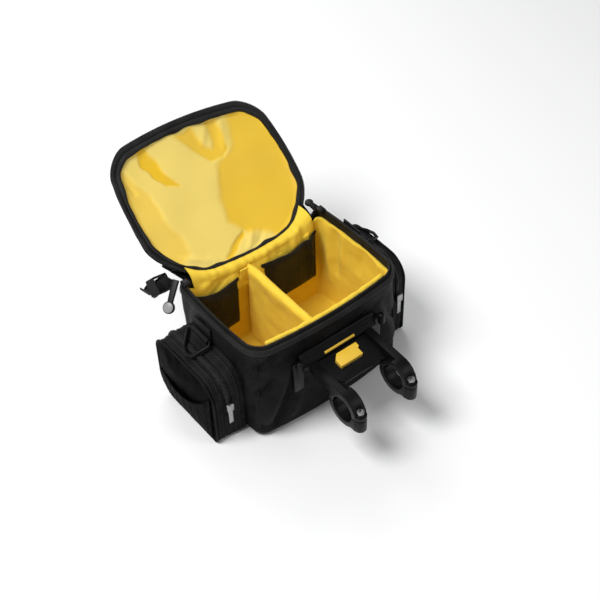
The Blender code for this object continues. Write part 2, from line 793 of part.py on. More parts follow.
def pocket_point(pocket, share, y, z):
    """A point of the pocket's gusset, share of the way from the wall to the outer panel."""
    wall = seat_x(y, z)
    return Vector((pocket.side * (wall + (pocket.outer_x - wall) * share), y, z))


def pocket_ring(pocket, share, spread=0.0):
    ring = [pocket_point(pocket, share, y, z) for y, z in pocket_edge(pocket, share, spread)]
    return ring if pocket.side > 0 else list(reversed(ring))


def panel_ring(pocket, scale):
    """The outer panel, crowned a little towards its middle."""
    edge = pocket_edge(pocket, 1.0)
    centre_y = (pocket.rear + POCKET_REAR_DRAFT + pocket.front) / 2
    centre_z = pocket.outer_top / 2
    x = pocket.side * (pocket.outer_x + POCKET_PANEL_CROWN * (1 - scale ** 2))
    ring = []
    for y, z in edge:
        ring.append(Vector((x, centre_y + (y - centre_y) * scale, centre_z + (z - centre_z) * scale)))
    return ring if pocket.side > 0 else list(reversed(ring))


def make_pocket(pocket):
    rings = [pocket_ring(pocket, share) for share in (0.0, POCKET_ZIP_SHARE, 1.0)]
    rings += [panel_ring(pocket, scale) for scale in POCKET_PANEL_SCALES]
    solidify(loft(pocket.name + "_pocket", rings, BLACK_CLOTH, start_cap=False), POCKET_WALL)
    make_pocket_mesh(pocket)
    make_pocket_zip(pocket)
    make_strap_ring(pocket)


def make_pocket_mesh(pocket):
    """Open-topped net on the outer panel, its hem rising towards the rider."""
    low_y = pocket.rear + POCKET_REAR_DRAFT + POCKET_MESH_MARGIN
    high_y = pocket.front - POCKET_MESH_MARGIN
    centre_y = (pocket.rear + POCKET_REAR_DRAFT + pocket.front) / 2
    centre_z = pocket.outer_top / 2
    half_y = (pocket.front - pocket.rear - POCKET_REAR_DRAFT) / 2
    front_base = pocket.corner * POCKET_FRONT_BASE_ROUND
    rows = []
    for row_step in range(POCKET_MESH_ROWS + 1):
        row = []
        for step in range(POCKET_MESH_COLUMNS + 1):
            share = step / POCKET_MESH_COLUMNS
            y = low_y + (high_y - low_y) * share
            hem = pocket.outer_top * (POCKET_MESH_HEM + POCKET_MESH_HEM_REAR * (1 - share) ** 5)
            ahead = max(0.0, (y - pocket.front + front_base) / front_base)
            foot = POCKET_MESH_MARGIN + front_base * (1 - math.sqrt(1 - ahead ** 2))
            rise = row_step / POCKET_MESH_ROWS
            z = foot + (hem - foot) * rise
            reach = min(1.0, max(abs(y - centre_y) / half_y, abs(z - centre_z) / centre_z))
            belly = POCKET_MESH_BELLY * math.sin(math.pi * share) * rise
            x = pocket.outer_x + POCKET_PANEL_CROWN * (1 - reach ** 2) + GAP * 2 + belly
            row.append(Vector((pocket.side * x, y, z)))
        rows.append(row)
    sheet(pocket.name + "_pocket_mesh", rows, BLACK_MESH, POCKET_MESH_WALL, pocket.side)


def make_pocket_zip(pocket):
    """Zip along the crown of the gusset, with its slider and pull on the rear side."""
    half = POCKET_ZIP_WIDTH / (2 * (pocket.outer_x - RIM_HALF_WIDTH))
    shares = (POCKET_ZIP_SHARE - half, POCKET_ZIP_SHARE, POCKET_ZIP_SHARE + half)
    rows = []
    for share in shares:
        edge = pocket_edge(pocket, share, GAP * 2 + POCKET_ZIP_THICKNESS / 2)
        kept = edge[:POCKET_CORNER_POINTS]
        low = (kept[-1][0], pocket.wall_top * POCKET_SLIDER_SHARE)
        start = (kept[0][0], pocket.wall_top * POCKET_ZIP_FRONT_SHARE)
        line = [start] + kept + [low]
        rows.append([pocket_point(pocket, share, y, z) for y, z in line])
    sheet(pocket.name + "_pocket_zip", rows, ZIP_BLACK, POCKET_ZIP_THICKNESS)
    y = rows[1][-1].y - POCKET_ZIP_THICKNESS
    z = rows[1][-1].z
    x = rows[1][-1].x
    slider_y = y - GAP - SLIDER_HEIGHT / 2
    slider = block(pocket.name + "_pocket_slider", (SLIDER_WIDTH, SLIDER_HEIGHT, SLIDER_LENGTH),
                   (x, slider_y, z + SLIDER_LENGTH / 2), SILVER)
    bevel(slider, SLIDER_ROUND)
    pull = block(pocket.name + "_pocket_pull", (PULL_WIDTH, PULL_THICKNESS, PULL_LENGTH),
                 (x, slider_y, z - GAP - PULL_LENGTH / 2), SILVER)
    bevel(pull, PULL_EDGE_ROUND)


def make_strap_ring(pocket):
    """A webbing eye sewn to the side wall, and the triangular ring that lies over the pocket."""
    radius = RING_WIRE / 2 + GAP + WEB_THICKNESS / 2
    eye_z = pocket.wall_top + WEB_RISE
    wall = max(side_wall_x(WEB_Y + step * WEB_WIDTH / 2, eye_z + WEB_HEIGHT) for step in (-1, 0, 1))
    strap_x = wall + GAP + WEB_THICKNESS / 2
    centre_x = strap_x + radius
    path = [(strap_x, eye_z + WEB_HEIGHT)]
    for step in range(WEB_EYE_STEPS + 1):
        angle = math.radians(180 + WEB_EYE_TURN * step / WEB_EYE_STEPS)
        path.append((centre_x + radius * math.cos(angle), eye_z + radius * math.sin(angle)))
    rows = []
    for x, z in path:
        rows.append([Vector((pocket.side * x, WEB_Y + step * WEB_WIDTH / 2, z)) for step in (-1, 0, 1)])
    sheet(pocket.name + "_strap_web", rows, WEBBING, WEB_THICKNESS)
    fall = (pocket.wall_top - pocket.outer_top) / (pocket.outer_x - wall)
    half = RING_WIDTH / 2
    points = []
    for corner in RING_POINTS:
        out = RING_LENGTH * corner.out
        across = half * corner.half_widths + RING_ROUND * corner.rounds
        points.append(Vector((pocket.side * (centre_x + out), WEB_Y + across, eye_z - fall * out)))
    tube(pocket.name + "_strap_ring", points, RING_WIRE / 2, BLACK_PLASTIC, cyclic=True)


def rear_face_y(height):
    """Rearmost point of the compartment's rear wall at a height."""
    return plan_y(body_plan(height, 0.0), 0.0, -1)


def frame_rear_y():
    return rear_face_y(FRAME_TOP) - GAP - FRAME_DEPTH


def make_frame():
    """Bag-side plastic frame: a wedge-topped bar with two legs and a slotted sloping face."""
    near = rear_face_y(FRAME_TOP) - GAP
    far = frame_rear_y()
    bottom = FRAME_TOP - FRAME_HEIGHT
    lip = bottom + FRAME_LIP_HEIGHT
    profile = [(far, bottom), (near, bottom), (near, FRAME_TOP), (near - FRAME_CREST, FRAME_TOP), (far, lip)]
    bar = prism("mounting_frame", profile, -FRAME_HALF_WIDTH, FRAME_HALF_WIDTH, BLACK_PLASTIC)
    for side, label in ((-1, "left"), (1, "right")):
        x = side * (FRAME_HALF_WIDTH - FRAME_LEG_WIDTH / 2 + FRAME_EAR)
        middle = FRAME_TOP - FRAME_LEG_LENGTH / 2 - FRAME_LEG_DROP
        leg = block(label + "_frame_leg", (FRAME_LEG_WIDTH, FRAME_LEG_DEPTH, FRAME_LEG_LENGTH),
                    (x, near - FRAME_LEG_DEPTH / 2, middle), BLACK_PLASTIC)
        bevel(leg, FRAME_LEG_ROUND)
        combine(bar, leg, "UNION")
    run = Vector((far - near + FRAME_CREST, lip - FRAME_TOP)).normalized()
    slope_length = math.hypot(far - near + FRAME_CREST, lip - FRAME_TOP)
    angle = math.atan2(-run.y, -run.x)
    slot_length = 2 * (FRAME_HALF_WIDTH - FRAME_SLOT_MARGIN)
    for index, share in enumerate(FRAME_SLOT_SHARES):
        y = near - FRAME_CREST + run.x * slope_length * share
        z = FRAME_TOP + run.y * slope_length * share
        slot = block("frame_slot_%d" % index, (slot_length, FRAME_SLOT_WIDTH, FRAME_SLOT_DEPTH * 2),
                     (0.0, y, z), BLACK_PLASTIC, (angle, 0.0, 0.0))
        combine(bar, slot, "DIFFERENCE")
    share = FRAME_MARK_SHARE
    y = near - FRAME_CREST + run.x * slope_length * share
    z = FRAME_TOP + run.y * slope_length * share
    turn = (angle, 0.0, 0.0)
    seat = block("mark_seat", (MARK_LENGTH + 2 * GAP, MARK_WIDTH + 2 * GAP, 2 * (MARK_DEPTH + GAP)),
                 (0.0, y, z), BLACK_PLASTIC, turn)
    combine(bar, seat, "DIFFERENCE")
    sink = Vector((0.0, -math.sin(angle), math.cos(angle))) * MARK_SINK
    place = Vector((0.0, y, z)) - sink
    block("lock_mark", (MARK_LENGTH, MARK_WIDTH, MARK_DEPTH), place, YELLOW_PLASTIC, turn)


def arm_profile():
    """Side view of a bracket arm: rail, hook over the bar and the upper lug, down to the split."""
    bore = BAR_DIAMETER / 2 + BAR_CLEARANCE
    outer = bore + JAW_WALL
    split = JAW_SPLIT / 2
    front = frame_rear_y() - GAP
    top = BRACKET_PLATE_TOP
    lug_top = split + UPPER_LUG_HEIGHT
    points = []
    steps = 12
    low = math.asin(split / bore)
    for step in range(steps + 1):
        angle = low + (math.pi - 2 * low) * step / steps
        points.append((BAR_Y + bore * math.cos(angle), BAR_Z + bore * math.sin(angle)))
    points.append((bolt_y(), BAR_Z + split))
    points.append((bolt_y(), BAR_Z + lug_top))
    start = math.pi - math.asin(lug_top / outer)
    end = math.radians(ARM_LEAVES_JAW)
    for step in range(6):
        angle = start + (end - start) * step / 5
        points.append((BAR_Y + outer * math.cos(angle), BAR_Z + outer * math.sin(angle)))
    points.append((front, top))
    points.append((front, top - RAIL_HEIGHT))
    foot = math.asin((top - RAIL_HEIGHT - ARM_FOOT_DROP - BAR_Z) / outer)
    for step in range(4):
        angle = foot + (math.asin(split / outer) - foot) * step / 3
        points.append((BAR_Y + outer * math.cos(angle), BAR_Z + outer * math.sin(angle)))
    return list(reversed(points))


def cap_profile():
    """Side view of the lower jaw, with its lug under the bolt."""
    bore = BAR_DIAMETER / 2 + BAR_CLEARANCE
    outer = bore + JAW_WALL
    split = JAW_SPLIT / 2
    lug = split + LOWER_LUG_HEIGHT
    points = []
    steps = 12
    low = math.asin(split / bore)
    for step in range(steps + 1):
        angle = math.pi + low + (math.pi - 2 * low) * step / steps
        points.append((BAR_Y + bore * math.cos(angle), BAR_Z + bore * math.sin(angle)))
    points.append((BAR_Y + math.sqrt(outer ** 2 - split ** 2), BAR_Z - split))
    start = 2 * math.pi - math.asin(split / outer)
    end = math.pi + math.asin(lug / outer)
    for step in range(1, 9):
        angle = start + (end - start) * step / 8
        points.append((BAR_Y + outer * math.cos(angle), BAR_Z + outer * math.sin(angle)))
    points.append((bolt_y(), BAR_Z - lug))
    points.append((bolt_y(), BAR_Z - split))
    return list(reversed(points))


def bolt_y():
    return BAR_Y - BAR_DIAMETER / 2 - BAR_CLEARANCE - BOLT_HEAD_RADIUS - BOLT_MARGIN


def make_bracket():
    """Two arms that hook over the bar, tied by a beam, and their lower jaws and bolts."""
    inner = BRACKET_PLATE_WIDTH / 2 + GAP
    outer = inner + RAIL_WIDTH
    profile = arm_profile()
    arms = prism("bracket_arms", profile, inner, outer, BLACK_PLASTIC)
    combine(arms, prism("left_rail", profile, -outer, -inner, BLACK_PLASTIC), "UNION")
    beam_z = BRACKET_PLATE_TOP - RAIL_HEIGHT + BEAM_HEIGHT / 2 - BEAM_DROP
    beam = block("beam", (2 * inner + RAIL_WIDTH, BEAM_DEPTH, BEAM_HEIGHT),
                 (0.0, frame_rear_y() - GAP - BEAM_DEPTH / 2, beam_z), BLACK_PLASTIC)
    combine(arms, beam, "UNION")
    jaw_front = BAR_Y + BAR_DIAMETER / 2 + BAR_CLEARANCE + JAW_WALL
    jaw = [point for point in profile if point[0] <= jaw_front + GAP]
    for side, label in ((-1, "left"), (1, "right")):
        low, high = sorted((side * (outer - JAW_WIDTH), side * (inner + RAIL_WIDTH / 2)))
        combine(arms, prism(label + "_jaw", jaw, low, high, BLACK_PLASTIC), "UNION")
        low, high = sorted((side * (outer - JAW_WIDTH), side * outer))
        cap = prism(label + "_jaw_cap", cap_profile(), low, high, BLACK_PLASTIC)
        make_bolt(label, side * (outer - JAW_WIDTH / 2), arms, cap)


def make_bolt(label, x, arms, cap):
    """Socket screw through both round lugs."""
    y = bolt_y()
    split = JAW_SPLIT / 2
    lug_top = BAR_Z + split + UPPER_LUG_HEIGHT
    lug_low = BAR_Z - split - LOWER_LUG_HEIGHT
    upper = cylinder(label + "_upper_lug", LUG_RADIUS, UPPER_LUG_HEIGHT,
                     (x, y, lug_top - UPPER_LUG_HEIGHT / 2), BLACK_PLASTIC)
    lower = cylinder(label + "_lower_lug", LUG_RADIUS, LOWER_LUG_HEIGHT,
                     (x, y, lug_low + LOWER_LUG_HEIGHT / 2), BLACK_PLASTIC)
    combine(arms, upper, "UNION")
    combine(cap, lower, "UNION")
    bore = cylinder(label + "_bolt_bore", BOLT_SHANK_RADIUS + BOLT_CLEARANCE, 2 * (lug_top - lug_low),
                    (x, y, BAR_Z), BLACK_PLASTIC)
    combine(arms, bore, "DIFFERENCE")
    combine(cap, bore, "DIFFERENCE")
    room = cylinder(label + "_bolt_room", BOLT_HEAD_RADIUS + BOLT_CLEARANCE, 2 * BOLT_HEAD_HEIGHT,
                    (x, y, lug_top + BOLT_HEAD_HEIGHT), BLACK_PLASTIC)
    combine(arms, room, "DIFFERENCE")
    head_z = lug_top + GAP + BOLT_HEAD_HEIGHT / 2
    bolt = cylinder(label + "_bolt", BOLT_HEAD_RADIUS, BOLT_HEAD_HEIGHT, (x, y, head_z), SILVER)
    length = lug_top - lug_low + GAP + BOLT_HEAD_HEIGHT / 4
    shank = cylinder(label + "_bolt_shank", BOLT_SHANK_RADIUS, length, (x, y, lug_low + length / 2), SILVER)
    combine(bolt, shank, "UNION")
    socket = cylinder(label + "_bolt_socket", BOLT_SOCKET_RADIUS, 2 * BOLT_SOCKET_DEPTH,
                      (x, y, head_z + BOLT_HEAD_HEIGHT / 2), SILVER, sides=6)
    combine(bolt, socket, "DIFFERENCE")


def plate_matrix():
    """The bracket plate's own frame: origin on its front top edge, Z out of its top."""
    place = Matrix.Translation((0.0, frame_rear_y() - 2 * GAP, BRACKET_PLATE_TOP - PLATE_RECESS))
    return place @ Matrix.Rotation(BRACKET_SLOPE, 4, "X")


def button_outline(spread):
    """Release button seen from above: a wide rear bar and a front step, counterclockwise."""
    rear = -BRACKET_PLATE_DEPTH + BUTTON_REAR_MARGIN - spread
    front = rear + BUTTON_DEPTH + 2 * spread
    waist = rear + BUTTON_DEPTH * BUTTON_WAIST
    left = BUTTON_X - BUTTON_WIDTH / 2 - spread
    right = BUTTON_X + BUTTON_WIDTH / 2 + spread
    return [(left, rear), (right, rear), (right, waist), (right + BUTTON_STEP, waist + BUTTON_STEP / 2),
            (right + BUTTON_STEP, front), (left + 2 * BUTTON_STEP, front), (left, front - 2 * BUTTON_STEP)]


def raise_outline(name, points, low, high, finish):
    rings = [[Vector((x, y, z)) for x, y in points] for z in (low, high)]
    return loft(name, rings, finish)


def make_plate():
    """Sloping plate between the rails, with the release button in its well."""
    half = BRACKET_PLATE_WIDTH / 2
    rear = -BRACKET_PLATE_DEPTH
    cut = BRACKET_CHAMFER
    plan = [(-half, 0.0), (-half, rear + cut), (-half + cut, rear),
            (half - cut, rear), (half, rear + cut), (half, 0.0)]
    plate = raise_outline("bracket_plate", plan, -PLATE_WALL, 0.0, BLACK_PLASTIC)
    plate.matrix_world = plate_matrix()
    well = raise_outline("button_well", button_outline(BUTTON_CLEARANCE), -PLATE_WALL * 2, PLATE_WALL,
                         BLACK_PLASTIC)
    well.matrix_world = plate_matrix()
    combine(plate, well, "DIFFERENCE")
    middle = Vector((BUTTON_X, -BRACKET_PLATE_DEPTH + BUTTON_REAR_MARGIN + BUTTON_DEPTH / 2, 0.0))
    points = [(x - middle.x, y - middle.y) for x, y in button_outline(0.0)]
    button = raise_outline("release_button", points, BUTTON_PROUD - BUTTON_HEIGHT, BUTTON_PROUD,
                           YELLOW_PLASTIC)
    button.matrix_world = plate_matrix() @ Matrix.Translation(middle)


def pull_outline(radius, stem):
    """A tag that widens into a round medallion at its lower end, counterclockwise."""
    half = STEM_WIDTH / 2
    join = -stem - radius
    points = [(half, 0.0), (-half, 0.0)]
    open_angle = math.acos(half * STEM_NECK / radius)
    start = math.pi - open_angle
    turn = math.pi + 2 * open_angle
    steps = 16
    for step in range(steps + 1):
        angle = start + turn * step / steps
        points.append((radius * math.cos(angle), join + radius * math.sin(angle)))
    return points


def make_lid_pull(row):
    """A slider at the end of the zip, with its pull hanging outside the corner."""
    x = row.side * (RIM_HALF_WIDTH - row.inset)
    y = RIM_FRONT - row.back
    slider = block(row.name + "_lid_slider", (SLIDER_WIDTH, SLIDER_LENGTH, SLIDER_HEIGHT),
                   Vector((x, y, RIM_HEIGHT + RIM_ZIP_RISE + GAP + SLIDER_HEIGHT / 2)), BLACK_PLASTIC)
    bevel(slider, SLIDER_ROUND)
    pull = raise_outline(row.name + "_lid_pull", pull_outline(row.disc, row.stem), 0.0, MEDALLION_THICKNESS,
                         BLACK_PLASTIC)
    bevel(pull, PULL_ROUND)
    pull.location = (x + row.side * row.out, y + row.ahead, RIM_HEIGHT + row.above)
    pull.rotation_euler = Euler((math.pi / 2 - row.lean, 0.0, row.facing), "XYZ")


def bundle_matrix():
    """The folded strap's frame: X along its folds, Y across the strap, Z through its layers."""
    along = Vector(BUNDLE_END) - Vector(BUNDLE_START)
    along.normalize()
    across = Vector(BUNDLE_FACE)
    across = (across - along * across.dot(along)).normalized()
    through = along.cross(across)
    turned = Matrix((along, across, through)).transposed().to_4x4()
    return Matrix.Translation(BUNDLE_START) @ turned


def make_bundle():
    """A strap folded back and forth, held by an elastic loop."""
    length = (Vector(BUNDLE_END) - Vector(BUNDLE_START)).length
    place = bundle_matrix()
    pitch = BUNDLE_LAYER + BUNDLE_SPACE
    path = []
    for layer in range(BUNDLE_LAYERS):
        level = (layer - (BUNDLE_LAYERS - 1) / 2) * pitch
        stagger = BUNDLE_STAGGER * (layer % 3)
        high = length - stagger
        first, last = (0.0, high) if layer % 2 == 0 else (high, 0.0)
        for share in (0.0, 0.5, 1.0):
            path.append((first + (last - first) * share, level))
        if layer < BUNDLE_LAYERS - 1:
            outward = 1 if layer % 2 == 0 else -1
            path.append((last + outward * pitch / 2, level + pitch / 2))
    rows = []
    for x, z in path:
        rows.append([place @ Vector((x, side * BUNDLE_WIDTH / 2, z)) for side in (-1, 0, 1)])
    sheet("strap_bundle", rows, WEBBING, BUNDLE_LAYER)
    half_y = BUNDLE_WIDTH / 2 + LOOP_CLEARANCE
    half_z = pitch * (BUNDLE_LAYERS - 1) / 2 + BUNDLE_LAYER / 2 + LOOP_CLEARANCE
    inner = outline(half_y, -half_z, half_z, (LOOP_ROUND,) * 4, 0.0, 0.0, 0.0, 2, 2)
    outer = outline(half_y + LOOP_WALL, -half_z - LOOP_WALL, half_z + LOOP_WALL,
                    (LOOP_ROUND + LOOP_WALL,) * 4, 0.0, 0.0, 0.0, 2, 2)
    rings = []
    for first, second in zip(inner, outer):
        ring = []
        for point, end in ((first, -1), (first, 1), (second, 1), (second, -1)):
            ring.append(place @ Vector((LOOP_PLACE + end * LOOP_WIDTH / 2, point.x, point.y)))
        rings.append(ring)
    closed_loft("bundle_loop", rings, WEBBING)


clear_scene()
PARTS = new_collection("handlebar_bag")
CUTTERS = new_collection("cutters")
BLACK_CLOTH = material("black_cloth", (0.012, 0.012, 0.013), 0.8)
BLACK_MESH = material("black_mesh", (0.02, 0.02, 0.021), 0.85)
WEBBING = material("black_webbing", (0.01, 0.01, 0.011), 0.7)
YELLOW_CLOTH = material("yellow_padding", (0.78, 0.44, 0.02), 0.8)
YELLOW_LINING = material("yellow_lining", (0.84, 0.56, 0.05), 0.45)
ZIP_BLACK = material("black_zip_tape", (0.015, 0.015, 0.016), 0.6)
BLACK_PLASTIC = material("black_plastic", (0.014, 0.014, 0.015), 0.4)
YELLOW_PLASTIC = material("yellow_plastic", (0.86, 0.46, 0.01), 0.4)
SILVER = material("bright_metal", (0.55, 0.55, 0.56), 0.3, 1.0)

make_compartment()
make_rear_pad()
make_divider()
make_inner_meshes()
make_rim_zip()
lid_frame = make_lid_frame()
make_lid(lid_frame)
make_hinge_strip()
for row in LID_PULLS:
    make_lid_pull(row)
for row in POCKETS:
    make_pocket(row)
make_bundle()
make_frame()
make_bracket()
make_plate()
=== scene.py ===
import math
from collections import namedtuple

import bmesh
import bpy
from mathutils import Euler, Matrix, Vector, noise


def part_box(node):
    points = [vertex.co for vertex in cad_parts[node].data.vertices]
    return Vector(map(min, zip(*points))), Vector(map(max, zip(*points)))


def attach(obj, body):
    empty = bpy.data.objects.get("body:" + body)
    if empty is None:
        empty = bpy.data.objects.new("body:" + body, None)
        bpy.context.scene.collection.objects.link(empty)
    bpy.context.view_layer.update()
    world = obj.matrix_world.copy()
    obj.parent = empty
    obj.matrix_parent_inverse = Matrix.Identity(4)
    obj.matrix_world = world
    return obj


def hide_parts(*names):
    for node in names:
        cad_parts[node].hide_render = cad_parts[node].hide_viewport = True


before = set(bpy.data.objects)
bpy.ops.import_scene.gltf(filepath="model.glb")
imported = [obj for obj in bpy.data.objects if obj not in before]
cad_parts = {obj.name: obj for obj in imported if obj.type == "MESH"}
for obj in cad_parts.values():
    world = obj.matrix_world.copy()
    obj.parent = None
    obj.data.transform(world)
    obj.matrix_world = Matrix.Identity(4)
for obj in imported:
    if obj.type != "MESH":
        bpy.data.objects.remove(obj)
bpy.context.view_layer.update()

# Camera: above and behind the bag's left side, with a long lens that keeps the box's edges near
# parallel. Its place and turn were fitted to the corners of the bag in the photo.
CAMERA_PLACE = (-0.5817, -0.7918, 1.1037)
CAMERA_HEADING = math.radians(36.86)
CAMERA_DIP = math.radians(45.36)
CAMERA_ROLL = math.radians(-2.07)
CAMERA_LENS = 72.3

ahead = Vector((math.sin(CAMERA_HEADING) * math.cos(CAMERA_DIP),
                math.cos(CAMERA_HEADING) * math.cos(CAMERA_DIP), -math.sin(CAMERA_DIP)))
level = Vector((math.cos(CAMERA_HEADING), -math.sin(CAMERA_HEADING), 0.0))
upright = level.cross(ahead)
rolled_right = level * math.cos(CAMERA_ROLL) + upright * math.sin(CAMERA_ROLL)
rolled_up = upright * math.cos(CAMERA_ROLL) - level * math.sin(CAMERA_ROLL)
camera = bpy.data.objects.new("camera", bpy.data.cameras.new("camera"))
camera.data.lens = CAMERA_LENS
camera.data.clip_end = 20.0
turned = Matrix((rolled_right, rolled_up, -ahead)).transposed().to_4x4()
camera.matrix_world = Matrix.Translation(CAMERA_PLACE) @ turned
bpy.context.scene.collection.objects.link(camera)
bpy.context.scene.camera = camera


# Studio: a pale matt floor under three large soft lamps and a dim grey surround, so that black cloth
# keeps its depth. The Shade class starts here: arithmetic on a Shade adds Math nodes, and its node
# method adds any other kind.
MAP_COORDINATES = 2
OBJECT_COORDINATES = 3


class Shade:
    def __init__(self, tree, socket=None):
        self.tree = tree
        self.socket = socket

    def node(self, kind, settings=None, sockets=None, output=0):
        made = self.tree.nodes.new(kind)
        for key, value in (settings or {}).items():
            setattr(made, key, value)
        for key, value in (sockets or {}).items():
            if isinstance(value, Shade):
                self.tree.links.new(value.socket, made.inputs[key])
            else:
                made.inputs[key].default_value = value
        return Shade(self.tree, made.outputs[output])

    def output(self, index):
        return Shade(self.tree, self.socket.node.outputs[index])

    def feed(self, shader, socket):
        self.tree.links.new(self.socket, shader.inputs[socket])

    def maths(self, operation, first, second=0.0):
        return self.node("ShaderNodeMath", {"operation": operation}, {0: first, 1: second})

    def __add__(self, other):
        return self.maths("ADD", self, other)

    def __sub__(self, other):
        return self.maths("SUBTRACT", self, other)

    def __rsub__(self, other):
        return self.maths("SUBTRACT", other, self)

    def __mul__(self, other):
        return self.maths("MULTIPLY", self, other)

    def cloth_map(self):
        """The piece's own map, in metres across and along the cloth."""
        across = self.node("ShaderNodeSeparateXYZ", None, {
            0: self.node("ShaderNodeTexCoord", output=MAP_COORDINATES)})
        return across, across.output(1)

    def mottle(self, scale, detail):
        """Soft cloudy noise that stays with the piece."""
        return self.node("ShaderNodeTexNoise", None, {
            "Vector": self.node("ShaderNodeTexCoord", output=OBJECT_COORDINATES),
            "Scale": scale, "Detail": detail})

    def held(self):
        """The value kept between 0 and 1."""
        return self.node("ShaderNodeClamp", None, {0: self})

    def between(self, dark, light):
        """A colour from dark to light as the value goes from 0 to 1."""
        return self.node("ShaderNodeMix", {"data_type": "RGBA"},
                         {0: self, 6: (*dark, 1.0), 7: (*light, 1.0)}, output=2)

    def raised(self, shader, depth, strength):
        """The value as a relief on the surface, depth in metres."""
        self.node("ShaderNodeBump", None, {"Height": self, "Distance": depth,
                                           "Strength": strength}).feed(shader, "Normal")


def start_finish(name):
    """A new material, a Shade to build its pattern from, and its Principled shader."""
    made = bpy.data.materials.new(name)
    made.use_nodes = True
    return made, Shade(made.node_tree), made.node_tree.nodes["Principled BSDF"]


FLOOR_HALF = 6.0
FLOOR_DROP = 0.0002
floor_mesh = bpy.data.meshes.new("floor")
floor_mesh.from_pydata([(-FLOOR_HALF, -FLOOR_HALF, 0), (FLOOR_HALF, -FLOOR_HALF, 0),
                        (FLOOR_HALF, FLOOR_HALF, 0), (-FLOOR_HALF, FLOOR_HALF, 0)], [], [(0, 1, 2, 3)])
floor = bpy.data.objects.new("floor", floor_mesh)
floor.location = (0, 0, -FLOOR_DROP)
floor_finish, floor_pattern, floor_shader = start_finish("pale_floor")
floor_shader.inputs["Base Color"].default_value = (0.93, 0.93, 0.93, 1.0)
floor_shader.inputs["Roughness"].default_value = 0.9
floor_shader.inputs["Specular IOR Level"].default_value = 0.1
floor_mesh.materials.append(floor_finish)
bpy.context.scene.collection.objects.link(floor)
world = bpy.data.worlds.new("studio")
world.use_nodes = True
world.node_tree.nodes["Background"].inputs["Color"].default_value = (0.97, 0.98, 1.0, 1.0)
world.node_tree.nodes["Background"].inputs["Strength"].default_value = 0.25
bpy.context.scene.world = world
Lamp = namedtuple("Lamp", "name place power size")
LAMPS = (
    Lamp("key", (-0.9, 0.1, 1.7), 29, 0.8),
    Lamp("fill", (0.9, -1.3, 1.3), 7, 0.8),
    Lamp("back", (0.5, 1.4, 1.3), 12, 0.9),
)
LAMP_TARGET = Vector((0, 0, 0.1))
for lamp in LAMPS:
    light = bpy.data.lights.new(lamp.name, "AREA")
    light.energy = lamp.power
    light.size = lamp.size
    lit = bpy.data.objects.new(lamp.name, light)
    lit.location = lamp.place
    lit.rotation_euler = (LAMP_TARGET - Vector(lamp.place)).to_track_quat("-Z", "Y").to_euler()
    bpy.context.scene.collection.objects.link(lit)
bpy.context.scene.view_settings.view_transform = "Standard"

# Main compartment: a box of coarse black nylon sewn over stiff board, slack between the plastic frame
# and the corner seams. Its plan is a bowed rectangle that grows a little towards the rim, and the
# front of the rim dips to the hinge.
CORNER_STEPS = 12
SIDE_STEPS = 64


def outline(half_x, rear_y, front_y, radii, bow_x, bow_rear, bow_front, corner_steps=CORNER_STEPS,
            side_steps=SIDE_STEPS):
    """A rectangle with a radius at each corner and bowed sides, as points from its right side round."""
    signs = ((1, 1), (-1, 1), (-1, -1), (1, -1))
    arcs = []
    for index, ((sign_x, sign_y), radius) in enumerate(zip(signs, radii)):
        end_y = front_y if sign_y > 0 else rear_y
        centre = Vector((sign_x * (half_x - radius), end_y - sign_y * radius))
        arc = []
        for step in range(corner_steps + 1):
            angle = math.radians(90 * index + 90 * step / corner_steps)
            arc.append(centre + Vector((math.cos(angle), math.sin(angle))) * radius)
        arcs.append(arc)
    points = []
    for index, arc in enumerate(arcs):
        points.extend(arc)
        following = arcs[(index + 1) % 4][0]
        for step in range(1, side_steps):
            points.append(arc[-1].lerp(following, step / side_steps))
    middle_y, half_y = (rear_y + front_y) / 2, (front_y - rear_y) / 2
    bowed = []
    for point in points:
        across, along = point.x / half_x, (point.y - middle_y) / half_y
        bow_y = bow_front if along > 0 else bow_rear
        shift_x = bow_x * math.copysign(abs(across) ** 3, across) * (1 - along ** 2)
        shift_y = bow_y * math.copysign(abs(along) ** 3, along) * (1 - across ** 2)
        bowed.append(Vector((point.x + shift_x, point.y + shift_y)))
    return bowed


RIM_HEIGHT = 0.143
RIM_HALF_WIDTH = 0.105
RIM_FRONT = 0.078
BASE_EDGE = 0.0095
SHELL_WALL = 0.0025
FRONT_DIP = 0.018


def body_plan(height, inset):
    """The main compartment's plan at a height, drawn in by inset."""
    share = height / RIM_HEIGHT
    half_x = 0.1035 + 0.0015 * share - inset
    rear_y = 0.069 + 0.001 * share - inset
    front_y = 0.077 + 0.001 * share - inset
    front = 0.0125 - inset
    rear = 0.012 + 0.010 * share - inset
    return outline(half_x, -rear_y, front_y, (front, front, rear, rear), 0.0035, 0.008, -0.008 * share)


def rim_drop(x, y):
    """How far the rim dips at (x, y), towards the hinge."""
    forward = max(0.0, min(1.0, (y / RIM_FRONT - 0.45) / 0.4))
    across = min(1.0, abs(x) / (RIM_HALF_WIDTH * 0.9))
    return FRONT_DIP * forward * (1 - across ** 4)


def body_rows(inset, top, wall_rows=52, edge_rows=6):
    """The compartment's wall as rings of points, from the edge of its base up to the rim."""
    radius = BASE_EDGE - inset
    rows = []
    for step in range(edge_rows + 1):
        angle = math.radians(90 * step / edge_rows)
        height = inset + radius * (1 - math.cos(angle))
        pulled_in = inset + radius * (1 - math.sin(angle))
        rows.append([Vector((p.x, p.y, height)) for p in body_plan(height, pulled_in)])
    for step in range(1, wall_rows + 1):
        share = step / wall_rows
        row = []
        for p in body_plan(BASE_EDGE + (top - BASE_EDGE) * share, inset):
            row.append(Vector((p.x, p.y, BASE_EDGE + (top - rim_drop(p.x, p.y) - BASE_EDGE) * share)))
        rows.append(row)
    return rows


Fold = namedtuple("Fold", "u v end_u end_v width height")


